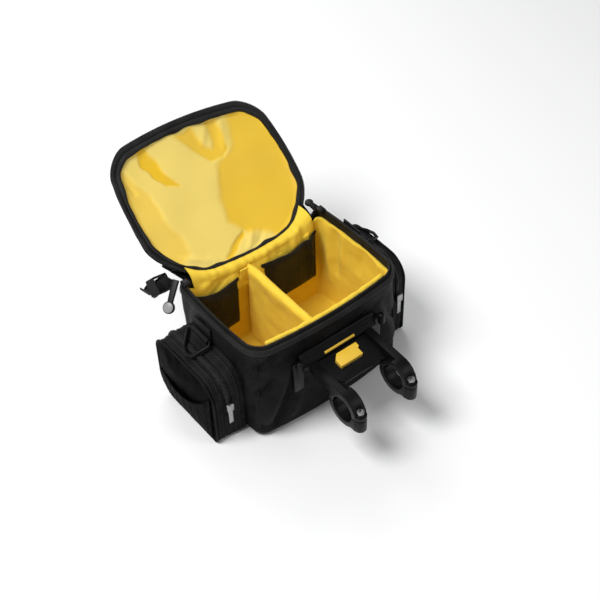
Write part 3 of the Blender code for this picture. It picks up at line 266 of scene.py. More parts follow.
def fold_height(folds, u, v):
    """Height of cloth at (u, v): each fold is a soft ridge, or a crease where its height is below 0."""
    total = 0.0
    for fold in folds:
        run_u, run_v = fold.end_u - fold.u, fold.end_v - fold.v
        length = run_u * run_u + run_v * run_v
        share = ((u - fold.u) * run_u + (v - fold.v) * run_v) / length
        held = max(0.0, min(1.0, share))
        away = math.hypot(u - fold.u - run_u * held, v - fold.v - run_v * held)
        taper = math.sqrt(max(0.0, 4 * held * (1 - held)))
        total += fold.height * taper * math.exp(-(away / fold.width) ** 2)
    return total


def press(rows, height_at, closed=False):
    """Move every point of a grid out along the grid's own normal by height_at(point)."""
    count = len(rows[0])
    moved = []
    for r, row in enumerate(rows):
        line = []
        for c, point in enumerate(row):
            left = row[(c - 1) % count] if closed else row[max(0, c - 1)]
            right = row[(c + 1) % count] if closed else row[min(count - 1, c + 1)]
            below, above = rows[max(0, r - 1)][c], rows[min(len(rows) - 1, r + 1)][c]
            normal = (right - left).cross(above - below)
            height = height_at(point)
            line.append(point + normal.normalized() * height if normal.length > 1e-12 else point.copy())
        moved.append(line)
    return moved


def settle(piece, sharp=50):
    """Turn a piece's modifiers into plain mesh."""
    evaluated = piece.evaluated_get(bpy.context.evaluated_depsgraph_get())
    mesh = bpy.data.meshes.new_from_object(evaluated)
    piece.modifiers.clear()
    piece.data = mesh
    mesh.set_sharp_from_angle(angle=math.radians(sharp))
    return piece


def sewn(name, rows, finish, wall=0.0, closed=False, loop=False, caps=(False, False), offset=-1.0):
    """A cloth panel from a grid of points, with its UV map in metres, given a wall if it has one.
    closed joins the ends of each row, and loop joins the last row to the first."""
    columns, total = len(rows[0]), len(rows)
    vertices = [tuple(point) for row in rows for point in row]
    faces, maps = [], []
    widest = max(rows, key=lambda row: sum((b - a).length for a, b in zip(row, row[1:])))
    across = [0.0]
    for a, b in zip(widest, widest[1:] + widest[:1]):
        across.append(across[-1] + (b - a).length)
    along = [0.0]
    for r in range(total):
        after = rows[(r + 1) % total]
        along.append(along[-1] + sum((b - a).length for a, b in zip(rows[r], after)) / columns)
    for r in range(total if loop else total - 1):
        q = (r + 1) % total
        for c in range(columns if closed else columns - 1):
            d = (c + 1) % columns
            faces.append((r * columns + c, r * columns + d, q * columns + d, q * columns + c))
            maps.append(((across[c], along[r]), (across[c + 1], along[r]),
                         (across[c + 1], along[r + 1]), (across[c], along[r + 1])))
    for capped, row, flip in ((caps[0], 0, True), (caps[1], total - 1, False)):
        if capped:
            ring = [row * columns + c for c in range(columns)]
            ring = list(reversed(ring)) if flip else ring
            faces.append(tuple(ring))
            maps.append(tuple((vertices[v][0], vertices[v][1]) for v in ring))
    mesh = bpy.data.meshes.new(name)
    mesh.from_pydata(vertices, [], faces)
    layer = mesh.uv_layers.new(name="cloth")
    for polygon, corners in zip(mesh.polygons, maps):
        for loop_index, corner in zip(polygon.loop_indices, corners):
            layer.data[loop_index].uv = corner
    mesh.materials.append(finish)
    mesh.shade_smooth()
    made = bpy.data.objects.new(name, mesh)
    bpy.context.scene.collection.objects.link(made)
    if wall:
        thick = made.modifiers.new("wall", "SOLIDIFY")
        thick.thickness = wall
        thick.offset = offset
        thick.use_even_offset = True
        thick.use_rim = True
    return settle(made)


def on_bag(piece, slot, *nodes):
    """The piece belongs to the bag, and takes the place of the nodes named."""
    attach(piece, "bag")
    if nodes:
        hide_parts(*nodes)
    return piece


def woven_finish(name, dark, light, pitch, rib, roughness, sheen, gloss=0.12, contrast=0.6, wear_and_glint=0.9):
    """Woven cloth: threads that cross every pitch metres of the piece's own map, with soft lighter patches
    that are partly wear and partly painted glints.
    """
    made, shade, shader = start_finish(name)
    across, along = shade.cloth_map()
    turn = 2 * math.pi / pitch
    weave = shade.maths("SINE", across * turn) * shade.maths("SINE", along * turn) * 0.5 + 0.5
    slubs, wear_and_glint_patches = shade.mottle(620.0, 2.0), shade.mottle(38.0, 4.0)
    # The soft patches lighten the colour: partly wear, partly painted glints that stand in for light caught
    # by the black cloth.
    tone = weave * contrast + slubs * 0.55 + wear_and_glint_patches * wear_and_glint - (contrast / 2 + wear_and_glint / 2 - 0.03)
    tone.held().between(dark, light).feed(shader, "Base Color")
    (wear_and_glint_patches * 0.3 + (roughness - 0.15)).feed(shader, "Roughness")
    shader.inputs["Specular IOR Level"].default_value = gloss
    if sheen:
        shader.inputs["Sheen Weight"].default_value = sheen
        shader.inputs["Sheen Roughness"].default_value = 0.35
    (weave + slubs * 0.5).raised(shader, rib, 0.9)
    return made


# On the black nylon the patches are strong: painted glints on its weave as well as wear.
NYLON = woven_finish("black_coarse_nylon", (0.0004, 0.0004, 0.0005), (0.023, 0.0225, 0.024), 0.0030, 0.00060,
                     0.50, 0.0, 0.07, 0.9, 1.3)
REAR_FOLDS = (
    Fold(-0.060, 0.116, -0.096, 0.022, 0.0085, 0.0052),
    Fold(-0.078, 0.098, -0.101, 0.074, 0.0050, -0.0034),
    Fold(-0.072, 0.138, -0.102, 0.116, 0.0055, -0.0030),
    Fold(-0.050, 0.098, -0.084, 0.012, 0.0050, -0.0042),
    Fold(-0.044, 0.066, -0.066, 0.008, 0.0070, 0.0030),
    Fold(0.064, 0.118, 0.096, 0.036, 0.0085, 0.0042),
    Fold(0.080, 0.100, 0.101, 0.068, 0.0050, -0.0030),
    Fold(0.050, 0.080, 0.076, 0.010, 0.0060, -0.0032),
)
SIDE_FOLDS = (
    Fold(-0.064, 0.134, -0.056, 0.010, 0.0060, -0.0022),
    Fold(-0.046, 0.132, -0.058, 0.070, 0.0060, 0.0018),
    Fold(0.052, 0.134, 0.070, 0.060, 0.0060, -0.0020),
)


REAR_FOLD_DEPTH = 1.4


def shell_relief(point):
    """How far the outer cloth stands off its board: broad slack, and the folds of its wall."""
    broad = noise.noise(point * 24) * 0.0016 + noise.noise(point * 64) * 0.0006
    above_base = min(1.0, max(0.0, (point.z - 0.004) / 0.02))
    edge = above_base * min(1.0, max(0.0, (RIM_HEIGHT - point.z) / 0.010))
    if point.y < -0.060:
        return (broad + REAR_FOLD_DEPTH * fold_height(REAR_FOLDS, point.x, point.z)) * edge
    if abs(point.x) > 0.095:
        return (broad + fold_height(SIDE_FOLDS, point.y, point.z)) * edge
    return broad * edge


shell = sewn("body_cloth", press(body_rows(0.0, RIM_HEIGHT), shell_relief, True), NYLON,
             SHELL_WALL, closed=True, caps=(True, False))
on_bag(shell, "black_cloth", "body_shell")


# Binding: a stitched tape binds the rim at the sides and rear, and a thin welt runs down each rear
# corner, where the wall panels are sewn together. Stitches are set by Geometry Nodes along their seams.
def swept(name, path, section, finish, ups=None, closed=False):
    """A section of (out, up) points carried along a path; out is level, to the right of the path."""
    count = len(path)
    rows = []
    for index, point in enumerate(path):
        before = path[(index - 1) % count] if closed else path[max(0, index - 1)]
        after = path[(index + 1) % count] if closed else path[min(count - 1, index + 1)]
        run = (after - before).normalized()
        out = run.cross(ups[index] if ups else Vector((0, 0, 1))).normalized()
        level_up = out.cross(run).normalized()
        rows.append([point + out * x + level_up * y for x, y in section])
    made = sewn(name, rows, finish, closed=True, loop=closed, caps=(not closed, not closed))
    return face_out(made)


def face_out(piece):
    """Turn a closed piece's faces outwards."""
    shape = bmesh.new()
    shape.from_mesh(piece.data)
    bmesh.ops.recalc_face_normals(shape, faces=shape.faces)
    shape.to_mesh(piece.data)
    shape.free()
    return piece


def round_section(radius, steps=10):
    return [(radius * math.cos(2 * math.pi * s / steps), radius * math.sin(2 * math.pi * s / steps))
            for s in range(steps)]


def row_of_beads(name, finish):
    """Beads set at a pitch along a path, with inputs Pitch, Length, Width and Height in metres."""
    tree = bpy.data.node_groups.new(name, "GeometryNodeTree")
    tree.interface.new_socket("Geometry", in_out="INPUT", socket_type="NodeSocketGeometry")
    sizes = {}
    for label, value in (("Pitch", 0.0016), ("Length", 0.001), ("Width", 0.003), ("Height", 0.0012)):
        socket = tree.interface.new_socket(label, in_out="INPUT", socket_type="NodeSocketFloat")
        socket.default_value = value
        sizes[label] = socket.identifier
    tree.interface.new_socket("Geometry", in_out="OUTPUT", socket_type="NodeSocketGeometry")
    add, link = tree.nodes.new, tree.links.new
    given, result = add("NodeGroupInput"), add("NodeGroupOutput")
    curve, spaced = add("GeometryNodeMeshToCurve"), add("GeometryNodeResampleCurve")
    spaced.mode = "LENGTH"
    bead, placed = add("GeometryNodeMeshUVSphere"), add("GeometryNodeInstanceOnPoints")
    bead.inputs["Segments"].default_value = 6
    bead.inputs["Rings"].default_value = 4
    bead.inputs["Radius"].default_value = 0.5
    size, tangent = add("ShaderNodeCombineXYZ"), add("GeometryNodeInputTangent")
    facing = add("GeometryNodeInputNamedAttribute")
    facing.data_type = "FLOAT_VECTOR"
    facing.inputs["Name"].default_value = "facing"
    first, second = add("FunctionNodeAlignRotationToVector"), add("FunctionNodeAlignRotationToVector")
    first.axis, second.axis, second.pivot_axis = "X", "Z", "X"
    plain, coloured = add("GeometryNodeRealizeInstances"), add("GeometryNodeSetMaterial")
    coloured.inputs["Material"].default_value = finish
    link(given.outputs["Geometry"], curve.inputs[0])
    link(curve.outputs[0], spaced.inputs["Curve"])
    link(given.outputs["Pitch"], spaced.inputs["Length"])
    link(spaced.outputs[0], placed.inputs["Points"])
    link(bead.outputs["Mesh"], placed.inputs["Instance"])
    for label, axis in (("Length", 0), ("Width", 1), ("Height", 2)):
        link(given.outputs[label], size.inputs[axis])
    link(size.outputs[0], placed.inputs["Scale"])
    link(tangent.outputs[0], first.inputs["Vector"])
    link(first.outputs[0], second.inputs["Rotation"])
    link(facing.outputs[0], second.inputs["Vector"])
    link(second.outputs[0], placed.inputs["Rotation"])
    link(placed.outputs[0], plain.inputs[0])
    link(plain.outputs[0], coloured.inputs[0])
    link(coloured.outputs[0], result.inputs[0])
    return tree, sizes


def set_along(name, paths, kind, pitch, length, width, height, slot):
    """Beads of one kind along paths of (point, facing) pairs, as one plain mesh on the bag."""
    tree, sizes = kind
    points, facings, edges = [], [], []
    for path, closed in paths:
        first = len(points)
        for point, face in path:
            points.append(tuple(point))
            facings.append(tuple(face))
        last = len(points) - 1
        edges += [(index, index + 1) for index in range(first, last)]
        if closed:
            edges.append((last, first))
    mesh = bpy.data.meshes.new(name)
    mesh.from_pydata(points, edges, [])
    stored = mesh.attributes.new("facing", "FLOAT_VECTOR", "POINT")
    for item, face in zip(stored.data, facings):
        item.vector = face
    made = bpy.data.objects.new(name, mesh)
    bpy.context.scene.collection.objects.link(made)
    change = made.modifiers.new("row", "NODES")
    change.node_group = tree
    for label, value in (("Pitch", pitch), ("Length", length), ("Width", width), ("Height", height)):
        change[sizes[label]] = value
    settle(made)
    made.data.shade_smooth()
    return on_bag(made, slot)


BINDING = woven_finish("black_binding_tape", (0.005, 0.0048, 0.0048), (0.044, 0.042, 0.041), 0.0019, 0.00030,
                       0.6, 0.0)
THREAD = woven_finish("grey_black_thread", (0.025, 0.025, 0.025), (0.075, 0.075, 0.075), 0.0004, 0.00004,
                      0.5, 0.0)
THREADS = row_of_beads("row_of_stitches", THREAD)
STITCH = (0.0032, 0.0023, 0.0008, 0.0007)
ARC = CORNER_STEPS + SIDE_STEPS


def rim_line(inset, height):
    """The rim from the front left corner round the rear to the front right corner."""
    plan = body_plan(RIM_HEIGHT, inset)
    chosen = [plan[i % len(plan)] for i in range(ARC + CORNER_STEPS // 2, 4 * ARC + CORNER_STEPS // 2 + 1)]
    return [Vector((p.x, p.y, height - rim_drop(p.x, p.y) * 0.5)) for p in chosen]


bind_line = rim_line(0.0008, RIM_HEIGHT - 0.0022)
bind_section = [(-0.0020, -0.0035), (-0.0022, 0.0015), (-0.0014, 0.0030), (0.0004, 0.0032), (0.0014, 0.0020),
                (0.0016, -0.0035)]
on_bag(swept("rim_binding", bind_line, bind_section, BINDING), "black_cloth")
seam = [(p, Vector((p.x, p.y, 0)).normalized()) for p in rim_line(-0.0013, RIM_HEIGHT - 0.0042)]
set_along("rim_stitches", [(seam, False)], THREADS, *STITCH, "black_cloth")
CORNER_WELT_RADIUS = 0.0012
CORNER_WELT_STEPS = 36
for label, corner, away in (("left", 2, -0.7), ("right", 3, 0.7)):
    welt = []
    for step in range(CORNER_WELT_STEPS + 1):
        height = BASE_EDGE + (RIM_HEIGHT - 0.004 - BASE_EDGE) * step / CORNER_WELT_STEPS
        p = body_plan(height, 0.0)[corner * ARC + CORNER_STEPS // 2]
        welt.append(Vector((p.x, p.y, height)))
    on_bag(swept(label + "_corner_welt", welt, round_section(CORNER_WELT_RADIUS), NYLON,
                 [Vector((away, -0.7, 0.0))] * len(welt)), "black_cloth")

# Liner: foam-filled yellow cloth with a brushed face, standing loose in the box. It is rolled over at
# the top and creased where it is gathered into the front corners.
LINER_CLEARANCE = 0.0008
LINER_WALL = 0.005
LINER_TOP = RIM_HEIGHT - 0.009
BRUSHED = woven_finish("yellow_brushed_padding", (0.84, 0.54, 0.032), (1.0, 0.79, 0.125), 0.0022, 0.00030,
                       0.85, 0.05, 0.08, 0.25, 0.30)
LINER_FRONT_FOLDS = (
    Fold(-0.094, 0.112, -0.030, 0.100, 0.0070, 0.0026),
    Fold(-0.084, 0.122, -0.040, 0.112, 0.0050, -0.0024),
    Fold(0.012, 0.112, 0.086, 0.104, 0.0070, 0.0026),
    Fold(0.060, 0.130, 0.070, 0.040, 0.0050, -0.0044),
    Fold(0.074, 0.134, 0.082, 0.050, 0.0045, 0.0050),
    Fold(0.088, 0.134, 0.090, 0.060, 0.0040, -0.0040),
)
LINER_SIDE_FOLDS = (
    Fold(0.056, 0.132, 0.048, 0.040, 0.0060, 0.0040),
    Fold(0.043, 0.134, 0.036, 0.060, 0.0045, -0.0036),
    Fold(0.026, 0.134, 0.030, 0.080, 0.0060, 0.0026),
    Fold(-0.010, 0.134, 0.000, 0.090, 0.0070, -0.0022),
    Fold(-0.040, 0.134, -0.034, 0.100, 0.0060, 0.0018),
)


def liner_back(point):
    """The liner's hidden face gives way where a fold of the wall presses in."""
    return min(0.0, shell_relief(point))


def liner_relief(point):
    """The liner's seen face: slack padding with its creases."""
    lift = noise.noise(point * 30) * 0.0020 + noise.noise(point * 80) * 0.0006
    if point.y > 0.05:
        lift += fold_height(LINER_FRONT_FOLDS, point.x, point.z)
    if abs(point.x) > 0.085:
        lift += fold_height(LINER_SIDE_FOLDS, point.y, point.z)
    return -lift * min(1.0, max(0.0, (point.z - 0.010) / 0.02))


LINER_ROLL = 0.0022
LINER_ROLL_STEPS = 6
liner_inset = SHELL_WALL + LINER_CLEARANCE
outer_rows = press(body_rows(liner_inset, LINER_TOP - 0.002), liner_back, True)
inner_rows = press(body_rows(liner_inset + LINER_WALL, LINER_TOP - 0.002), liner_relief, True)
roll = []
for step in range(1, LINER_ROLL_STEPS):
    angle = math.pi * step / LINER_ROLL_STEPS
    share = (1 - math.cos(angle)) / 2
    row = []
    for a, b in zip(outer_rows[-1], inner_rows[-1]):
        wave = 1 + 0.9 * noise.noise(a * 85)
        row.append(a.lerp(b, share) + Vector((0, 0, LINER_ROLL * wave * math.sin(angle))))
    roll.append(row)
liner = sewn("liner_padding", outer_rows + roll + list(reversed(inner_rows)), BRUSHED,
             closed=True, caps=(True, True))
on_bag(liner, "yellow_padding", "liner")

# Rear pad: a soft yellow roll along the rider's side of the opening, folded over and stitched at its
# ends, with small creases where the filling gives.
PAD_HALF_LENGTH = RIM_HALF_WIDTH - 0.021
PAD_THICKNESS = 0.0078
PAD_HEIGHT = 0.0135
PAD_MIDDLE = LINER_TOP + 0.0003 + PAD_HEIGHT / 2


def crossing(ring, axis, at, side):
    """Where a plan crosses a place on one axis (0 for X, 1 for Y), measured along the other axis.
    side is 1 or -1, for the crossing above or below 0."""
    other = 1 - axis
    for first, second in zip(ring, ring[1:] + ring[:1]):
        if side * first[other] < 0 or side * second[other] < 0 or first[axis] == second[axis]:
            continue
        if min(first[axis], second[axis]) <= at <= max(first[axis], second[axis]):
            run = second[axis] - first[axis]
            return first[other] + (second[other] - first[other]) * (at - first[axis]) / run
    return 0.0


pad_plan = body_plan(RIM_HEIGHT, SHELL_WALL + 0.0022 + 0.0009 + PAD_THICKNESS / 2)
PAD_STATIONS = 160
PAD_AROUND = 28
pad_rows = []
for station in range(PAD_STATIONS + 1):
    along = -1 + 2 * station / PAD_STATIONS
    x = PAD_HALF_LENGTH * math.sin(along * math.pi / 2)
    taper = math.sqrt(max(0.06, 1 - along ** 14))
    crease = abs(math.sin(x * 150 + 2.2 * noise.noise(Vector((x * 18, 1.7, 0.2)))))
    full = 0.90 + 0.13 * math.sqrt(crease) + 0.10 * noise.noise(Vector((x * 60, 3.1, 0.4)))
    middle = crossing(pad_plan, 0, x, -1)
    row = []
    for step in range(PAD_AROUND):
        angle = 2 * math.pi * step / PAD_AROUND
        sink = 0.0006 * noise.noise(Vector((x * 130, math.cos(angle) * 2, math.sin(angle) * 2)))
        row.append(Vector((x, middle + (PAD_THICKNESS / 2 * taper * full + sink) * math.cos(angle),
                           PAD_MIDDLE + (PAD_HEIGHT / 2 * taper * full + sink) * math.sin(angle))))
    pad_rows.append(row)
rear_pad = sewn("rear_roll", pad_rows, BRUSHED, closed=True, caps=(True, True))
on_bag(face_out(rear_pad), "yellow_padding", "rear_pad")

# Divider: a thick padded wall between the two halves, fuller along its rounded top, which stands free
# of the liner. Its pull tab is a folded strip of the same cloth at the front end.
DIVIDER_X = -0.014
DIVIDER_HALF = 0.0040
DIVIDER_TOP = RIM_HEIGHT - 0.014
DIVIDER_CAP = 0.006
DIVIDER_STATIONS = 60
DIVIDER_AROUND = 72
SIDE_SHARE = 0.42
divider_low, divider_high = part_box("divider")
divider_rows = []
for station in range(DIVIDER_STATIONS + 1):
    share = station / DIVIDER_STATIONS
    y = divider_low[1] + (divider_high[1] - divider_low[1]) * share
    end = math.sqrt(max(0.03, 1 - abs(2 * share - 1) ** 18))
    lift = noise.noise(Vector((0.3, y * 45, 2.0))) * 0.0016
    row = []
    for step in range(DIVIDER_AROUND):
        around = step / DIVIDER_AROUND
        cap = 0.0
        if around < SIDE_SHARE:
            height, half = around / SIDE_SHARE, 1.0
        elif around < 1 - SIDE_SHARE:
            height, half = 1.0, math.cos((around - SIDE_SHARE) / (1 - 2 * SIDE_SHARE) * math.pi)
            cap = DIVIDER_CAP * math.sqrt(max(0.0, 1 - half * half))
        else:
            height, half = (1 - around) / SIDE_SHARE, -1.0
        full = 1 + 0.45 * math.exp(-((1 - height) / 0.09) ** 2) + 0.10 * math.sin(math.pi * height)
        z = divider_low[2] + (DIVIDER_TOP - DIVIDER_CAP - divider_low[2]) * height + cap + lift * height
        dent = noise.noise(Vector((half * 2, y * 55, z * 55))) * 0.0010
        row.append(Vector((DIVIDER_X + (DIVIDER_HALF * full * end + dent) * half, y, z)))
    divider_rows.append(row)
divider = face_out(sewn("divider_padding", divider_rows, BRUSHED, closed=True, caps=(True, True)))
on_bag(divider, "yellow_padding", "divider")


def start_copy(node, name):
    """A copy of a node's solid, and its mesh with the doubles merged."""
    made = bpy.data.objects.new(name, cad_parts[node].data.copy())
    bpy.context.scene.collection.objects.link(made)
    shape = bmesh.new()
    shape.from_mesh(made.data)
    bmesh.ops.remove_doubles(shape, verts=shape.verts, dist=1e-5)
    return made, shape


def end_copy(made, shape, finish):
    """Put the worked mesh back in the copy, in its finish."""
    shape.to_mesh(made.data)
    shape.free()
    made.data.materials.clear()
    made.data.materials.append(finish)
    made.data.shade_smooth()


def refined(node, name, edge, finish, relief=None, map_axes=(0, 2), ease=0):
    """A finer copy of a node's solid: long edges are split, and its faces pressed by relief."""
    made, shape = start_copy(node, name)
    for _ in range(7):
        long_edges = [e for e in shape.edges if e.calc_length() > edge]
        if not long_edges:
            break
        bmesh.ops.subdivide_edges(shape, edges=long_edges, cuts=1)
        bmesh.ops.triangulate(shape, faces=shape.faces, quad_method="SHORT_EDGE")
    for _ in range(ease):
        bmesh.ops.smooth_vert(shape, verts=shape.verts, factor=0.5, use_axis_x=True, use_axis_y=True,
                              use_axis_z=True)
    shape.normal_update()
    if relief:
        shifts = [(v, v.normal * relief(v.co)) for v in shape.verts]
        for vertex, shift in shifts:
            vertex.co += shift
    layer = shape.loops.layers.uv.verify()
    for face in shape.faces:
        for corner in face.loops:
            corner[layer].uv = (corner.vert.co[map_axes[0]], corner.vert.co[map_axes[1]])
    end_copy(made, shape, finish)
    made.data.set_sharp_from_angle(angle=math.radians(50))
    return made


divider_tab = refined("divider_tab", "divider_pull_tab", 0.002, BRUSHED,
                      lambda p: noise.noise(p * 160) * 0.0006, ease=2)
on_bag(divider_tab, "yellow_padding", "divider_tab")


# Inner nets: knitted black pockets on the front inside wall, each with a bound top edge. The holes are
# left out of the cloth by its alpha.
def net_finish(name, pitch, thread):
    """Knitted net: slanting threads every pitch metres, with holes where they leave room."""
    made, shade, shader = start_finish(name)
    across, along = shade.cloth_map()
    turn = 2 * math.pi / pitch
    loops = shade.maths("SINE", (across + along) * turn) * shade.maths("SINE", (across - along) * turn)
    hole = shade.maths("GREATER_THAN", shade.maths("ABSOLUTE", loops), thread)
    (1.0 - hole * 0.999).feed(shader, "Alpha")
    shader.inputs["Base Color"].default_value = (0.010, 0.010, 0.010, 1.0)
    shader.inputs["Roughness"].default_value = 0.6
    shader.inputs["Specular IOR Level"].default_value = 0.3
    return made


NET = net_finish("black_knitted_net", 0.0030, 0.80)


def front_wall_y(x, z, top, inset):
    """Where the front wall stands at (x, z), drawn in by inset."""
    rise = top - BASE_EDGE
    share = min(1.0, (z - BASE_EDGE) / (rise - rim_drop(x, RIM_FRONT)))
    return crossing(body_plan(BASE_EDGE + rise * share, inset), 0, x, 1)


NET_ACROSS = 40
NET_UP = 24
NET_WALL = 0.0005
NET_SAG = 0.0030
NET_SLACK = 0.0050
HEM_SECTION = [(-0.0010, -0.0030), (0.0012, -0.0030), (0.0014, 0.0), (0.0006, 0.0016), (-0.0006, 0.0016),
               (-0.0012, 0.0)]
for label in ("left", "right"):
    node = "inner_mesh_" + label
    low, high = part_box(node)
    net_rows = []
    for rise in range(NET_UP + 1):
        row = []
        for step in range(NET_ACROSS + 1):
            across, up = step / NET_ACROSS, rise / NET_UP
            x = low[0] + (high[0] - low[0]) * across
            sag = NET_SAG * math.sin(math.pi * across) + 0.0012 * noise.noise(Vector((x * 40, 0.5, 0.5)))
            z = low[2] + (high[2] - low[2] - sag) * up
            wall = front_wall_y(x, z, RIM_HEIGHT, SHELL_WALL + LINER_CLEARANCE + LINER_WALL)
            bulge = max(0.0, -liner_relief(Vector((x, wall, z)))) + 0.0012
            full = math.sin(math.pi * across) ** 0.6 * min(1.0, 0.15 + up * 1.3)
            slack = NET_SLACK + 0.0022 * noise.noise(Vector((x * 45, z * 30, 1.5)))
            row.append(Vector((x, wall - bulge - slack * full, z)))
        net_rows.append(row)
    net = sewn(node + "_net", net_rows, NET, NET_WALL, offset=0.0)
    on_bag(net, "black_mesh", node)
    hem = on_bag(swept(node + "_hem", net_rows[-1], HEM_SECTION, BINDING), "black_mesh")
    high[0] - low[0]
    high[2] - low[2]

# Rim zip: a woven tape standing inside the binding and leaning over the opening, with a nylon coil
# along its upper edge, one turn at a time.
COIL = woven_finish("black_nylon_coil", (0.006, 0.006, 0.006), (0.03, 0.03, 0.031), 0.0007, 0.00004,
                    0.35, 0.0, 0.4)
TEETH = row_of_beads("row_of_zip_teeth", COIL)
RIM_TEETH = (0.0017, 0.0012, 0.0026, 0.0018)
RIM_ZIP_HEIGHT = 0.1400
RIM_ZIP_INSET = SHELL_WALL + 0.0003
tape_line = rim_line(RIM_ZIP_INSET + 0.0011, RIM_ZIP_HEIGHT)
tape_section = [(-0.0009, -0.0056), (0.0009, -0.0056), (0.0007, 0.0030), (-0.0008, 0.0066),
                (-0.0017, 0.0066), (-0.0009, 0.0030)]
on_bag(swept("rim_zip_tape", tape_line, tape_section, BINDING), "black_zip_tape", "rim_zip")
coil_line = [(p, Vector((0, 0, 1))) for p in rim_line(RIM_ZIP_INSET + 0.0024, RIM_ZIP_HEIGHT + 0.0070)]
set_along("rim_zip_coil", [(coil_line, False)], TEETH, *RIM_TEETH, "black_zip_tape")

# Lid: a shallow tray of the same nylon over board, sewn to the front edge and thrown back. It is drawn
# in its own plane, with the hinge along X, and set at its open angle.
LID_WIDTH = 0.211
LID_LENGTH = 0.165
LID_BOW = 0.0105
LID_LEAN = math.radians(38)
LID_TWIST = math.radians(4)
LID_TURN = math.radians(-1.7)
LID_SHIFT = -0.003
BAND = 0.0088
lid_y = RIM_FRONT - 0.008 + LID_BOW * math.cos(LID_LEAN) + 0.0015
lid_z = RIM_HEIGHT - FRONT_DIP + LID_BOW * math.sin(LID_LEAN) + 0.003
lid_place = (Matrix.Translation((LID_SHIFT, lid_y, lid_z))
             @ Euler((LID_LEAN, LID_TWIST, LID_TURN), "ZYX").to_matrix().to_4x4())
lid_up = lid_place.to_3x3() @ Vector((0, 0, 1))


def lid_outline(inset):
    """The lid's edge in its own plane, drawn in by inset, with wider corners at the hinge."""
    hinge = 0.054 - inset
    free = max(0.028 - inset, 0.0056)
    return outline(LID_WIDTH / 2 - inset, inset, LID_LENGTH - inset * 1.5, (free, free, hinge, hinge),
                   LID_BOW, LID_BOW, LID_BOW, 20, 40)


def lid_row(inset, depth):
    return [lid_place @ Vector((p.x, p.y, -depth)) for p in lid_outline(inset)]


def between_rows(table, steps):
    """The table's rows with further rows between each two."""
    rows = []
    for first, second in zip(table, table[1:]):
        for step in range(steps):
            share = step / steps
            rows.append([a + (b - a) * share for a, b in zip(first, second)])
    return rows + [list(table[-1])]


LID_ROWS = ((0.0, 0.0), (0.3, 0.20), (0.7, 0.55), (1.6, 0.86), (3.0, 1.0), (4.8, 1.05))
LID_DEPTH = 0.020
LID_WALL = 0.0025
tray_edge = 0.0016 + 0.0003 + LID_WALL


def tray_relief(point):
    return noise.noise(point * 22) * 0.0018 + noise.noise(point * 66) * 0.0005


tray_rows = [lid_row(BAND * inset, tray_edge + LID_DEPTH * depth)
             for inset, depth in reversed(between_rows(LID_ROWS, 5))]
tray = sewn("lid_cloth", press(tray_rows, tray_relief, True), NYLON, LID_WALL, closed=True,
            caps=(True, False))
on_bag(tray, "black_cloth", "lid_shell")

# Lid lining: thin yellow satin sewn in at its edge and left loose, so it lies in broad flats with a few
# creases. Light and shade are painted on it: a flat that turns from the light is drawn in a deeper colour
# of painted shade, stored as its turn, and the rest in a pale colour that stands for the lit satin.
# Each flat: turn is how much painted shade its satin takes, soft the width of its edge, sink how far it lies
# below the rest, and edge its outline in the lid's plane.
Flat = namedtuple("Flat", "turn soft sink edge")
LINING_FLATS = (
    Flat(0.45, 0.0032, 0.0016, ((-0.120, 0.162), (-0.096, 0.148), (-0.083, 0.122), (-0.074, 0.100),
                                (-0.074, 0.072), (-0.066, 0.050), (-0.066, 0.026), (-0.090, 0.010),
                                (-0.130, 0.010))),
    Flat(1.00, 0.0020, 0.0016, ((-0.067, 0.161), (-0.055, 0.160), (-0.047, 0.138), (-0.043, 0.118),
                                (-0.034, 0.102), (-0.049, 0.108), (-0.061, 0.124), (-0.067, 0.142))),
    Flat(0.85, 0.0026, 0.0014, ((-0.010, 0.160), (0.002, 0.136), (0.018, 0.114), (0.036, 0.113),
                                (0.046, 0.122), (0.048, 0.160), (0.034, 0.160), (0.032, 0.134),
                                (0.026, 0.128), (0.018, 0.136), (0.012, 0.160))),
    Flat(0.85, 0.0052, 0.0012, ((0.072, 0.175), (0.062, 0.150), (0.056, 0.126), (0.046, 0.116),
                                (0.026, 0.110), (0.004, 0.070), (0.000, 0.040), (0.016, 0.018),
                                (0.040, 0.010), (0.052, -0.020), (0.130, -0.020), (0.130, 0.175))),
    Flat(1.00, 0.0022, 0.0016, ((0.012, 0.024), (0.000, 0.020), (-0.018, 0.010), (-0.034, -0.004),
                                (-0.026, -0.004), (-0.008, 0.006), (0.008, 0.016))),
)
LINING_CREASES = (
    Fold(0.053, 0.156, 0.040, 0.118, 0.0040, 0.0022),
    Fold(0.030, 0.156, 0.016, 0.134, 0.0036, 0.0018),
    Fold(0.024, 0.022, -0.002, -0.006, 0.0040, 0.0020),
    Fold(0.036, 0.016, 0.014, -0.004, 0.0032, -0.0014),
    Fold(-0.080, 0.026, -0.062, 0.012, 0.0030, 0.0016),
    Fold(-0.066, 0.018, -0.050, 0.006, 0.0028, 0.0014),
    Fold(-0.048, 0.014, -0.038, 0.000, 0.0026, 0.0012),
    Fold(-0.090, 0.112, -0.098, 0.140, 0.0040, -0.0022),
)


def depth_in(edge, x, y):
    """How far (x, y) lies inside a closed edge, below 0 outside it."""
    nearest, inside = 1.0, False
    for (ax, ay), (bx, by) in zip(edge, edge[1:] + edge[:1]):
        run_x, run_y = bx - ax, by - ay
        share = ((x - ax) * run_x + (y - ay) * run_y) / (run_x * run_x + run_y * run_y)
        share = max(0.0, min(1.0, share))
        nearest = min(nearest, math.hypot(x - ax - run_x * share, y - ay - run_y * share))
        if (ay > y) != (by > y) and x < ax + (y - ay) * run_x / run_y:
            inside = not inside
    return nearest if inside else -nearest


def flat_share(flat, x, y):
    """How much of a flat is at (x, y), from 0 to 1, with a soft and wandering edge."""
    x += 0.0035 * noise.noise(Vector((x * 60, y * 60, 1.0)))
    y += 0.0035 * noise.noise(Vector((x * 60, y * 60, 6.0)))
    share = max(0.0, min(1.0, 0.5 + depth_in(flat.edge, x, y) / (2 * flat.soft)))
    return share * share * (3 - 2 * share)


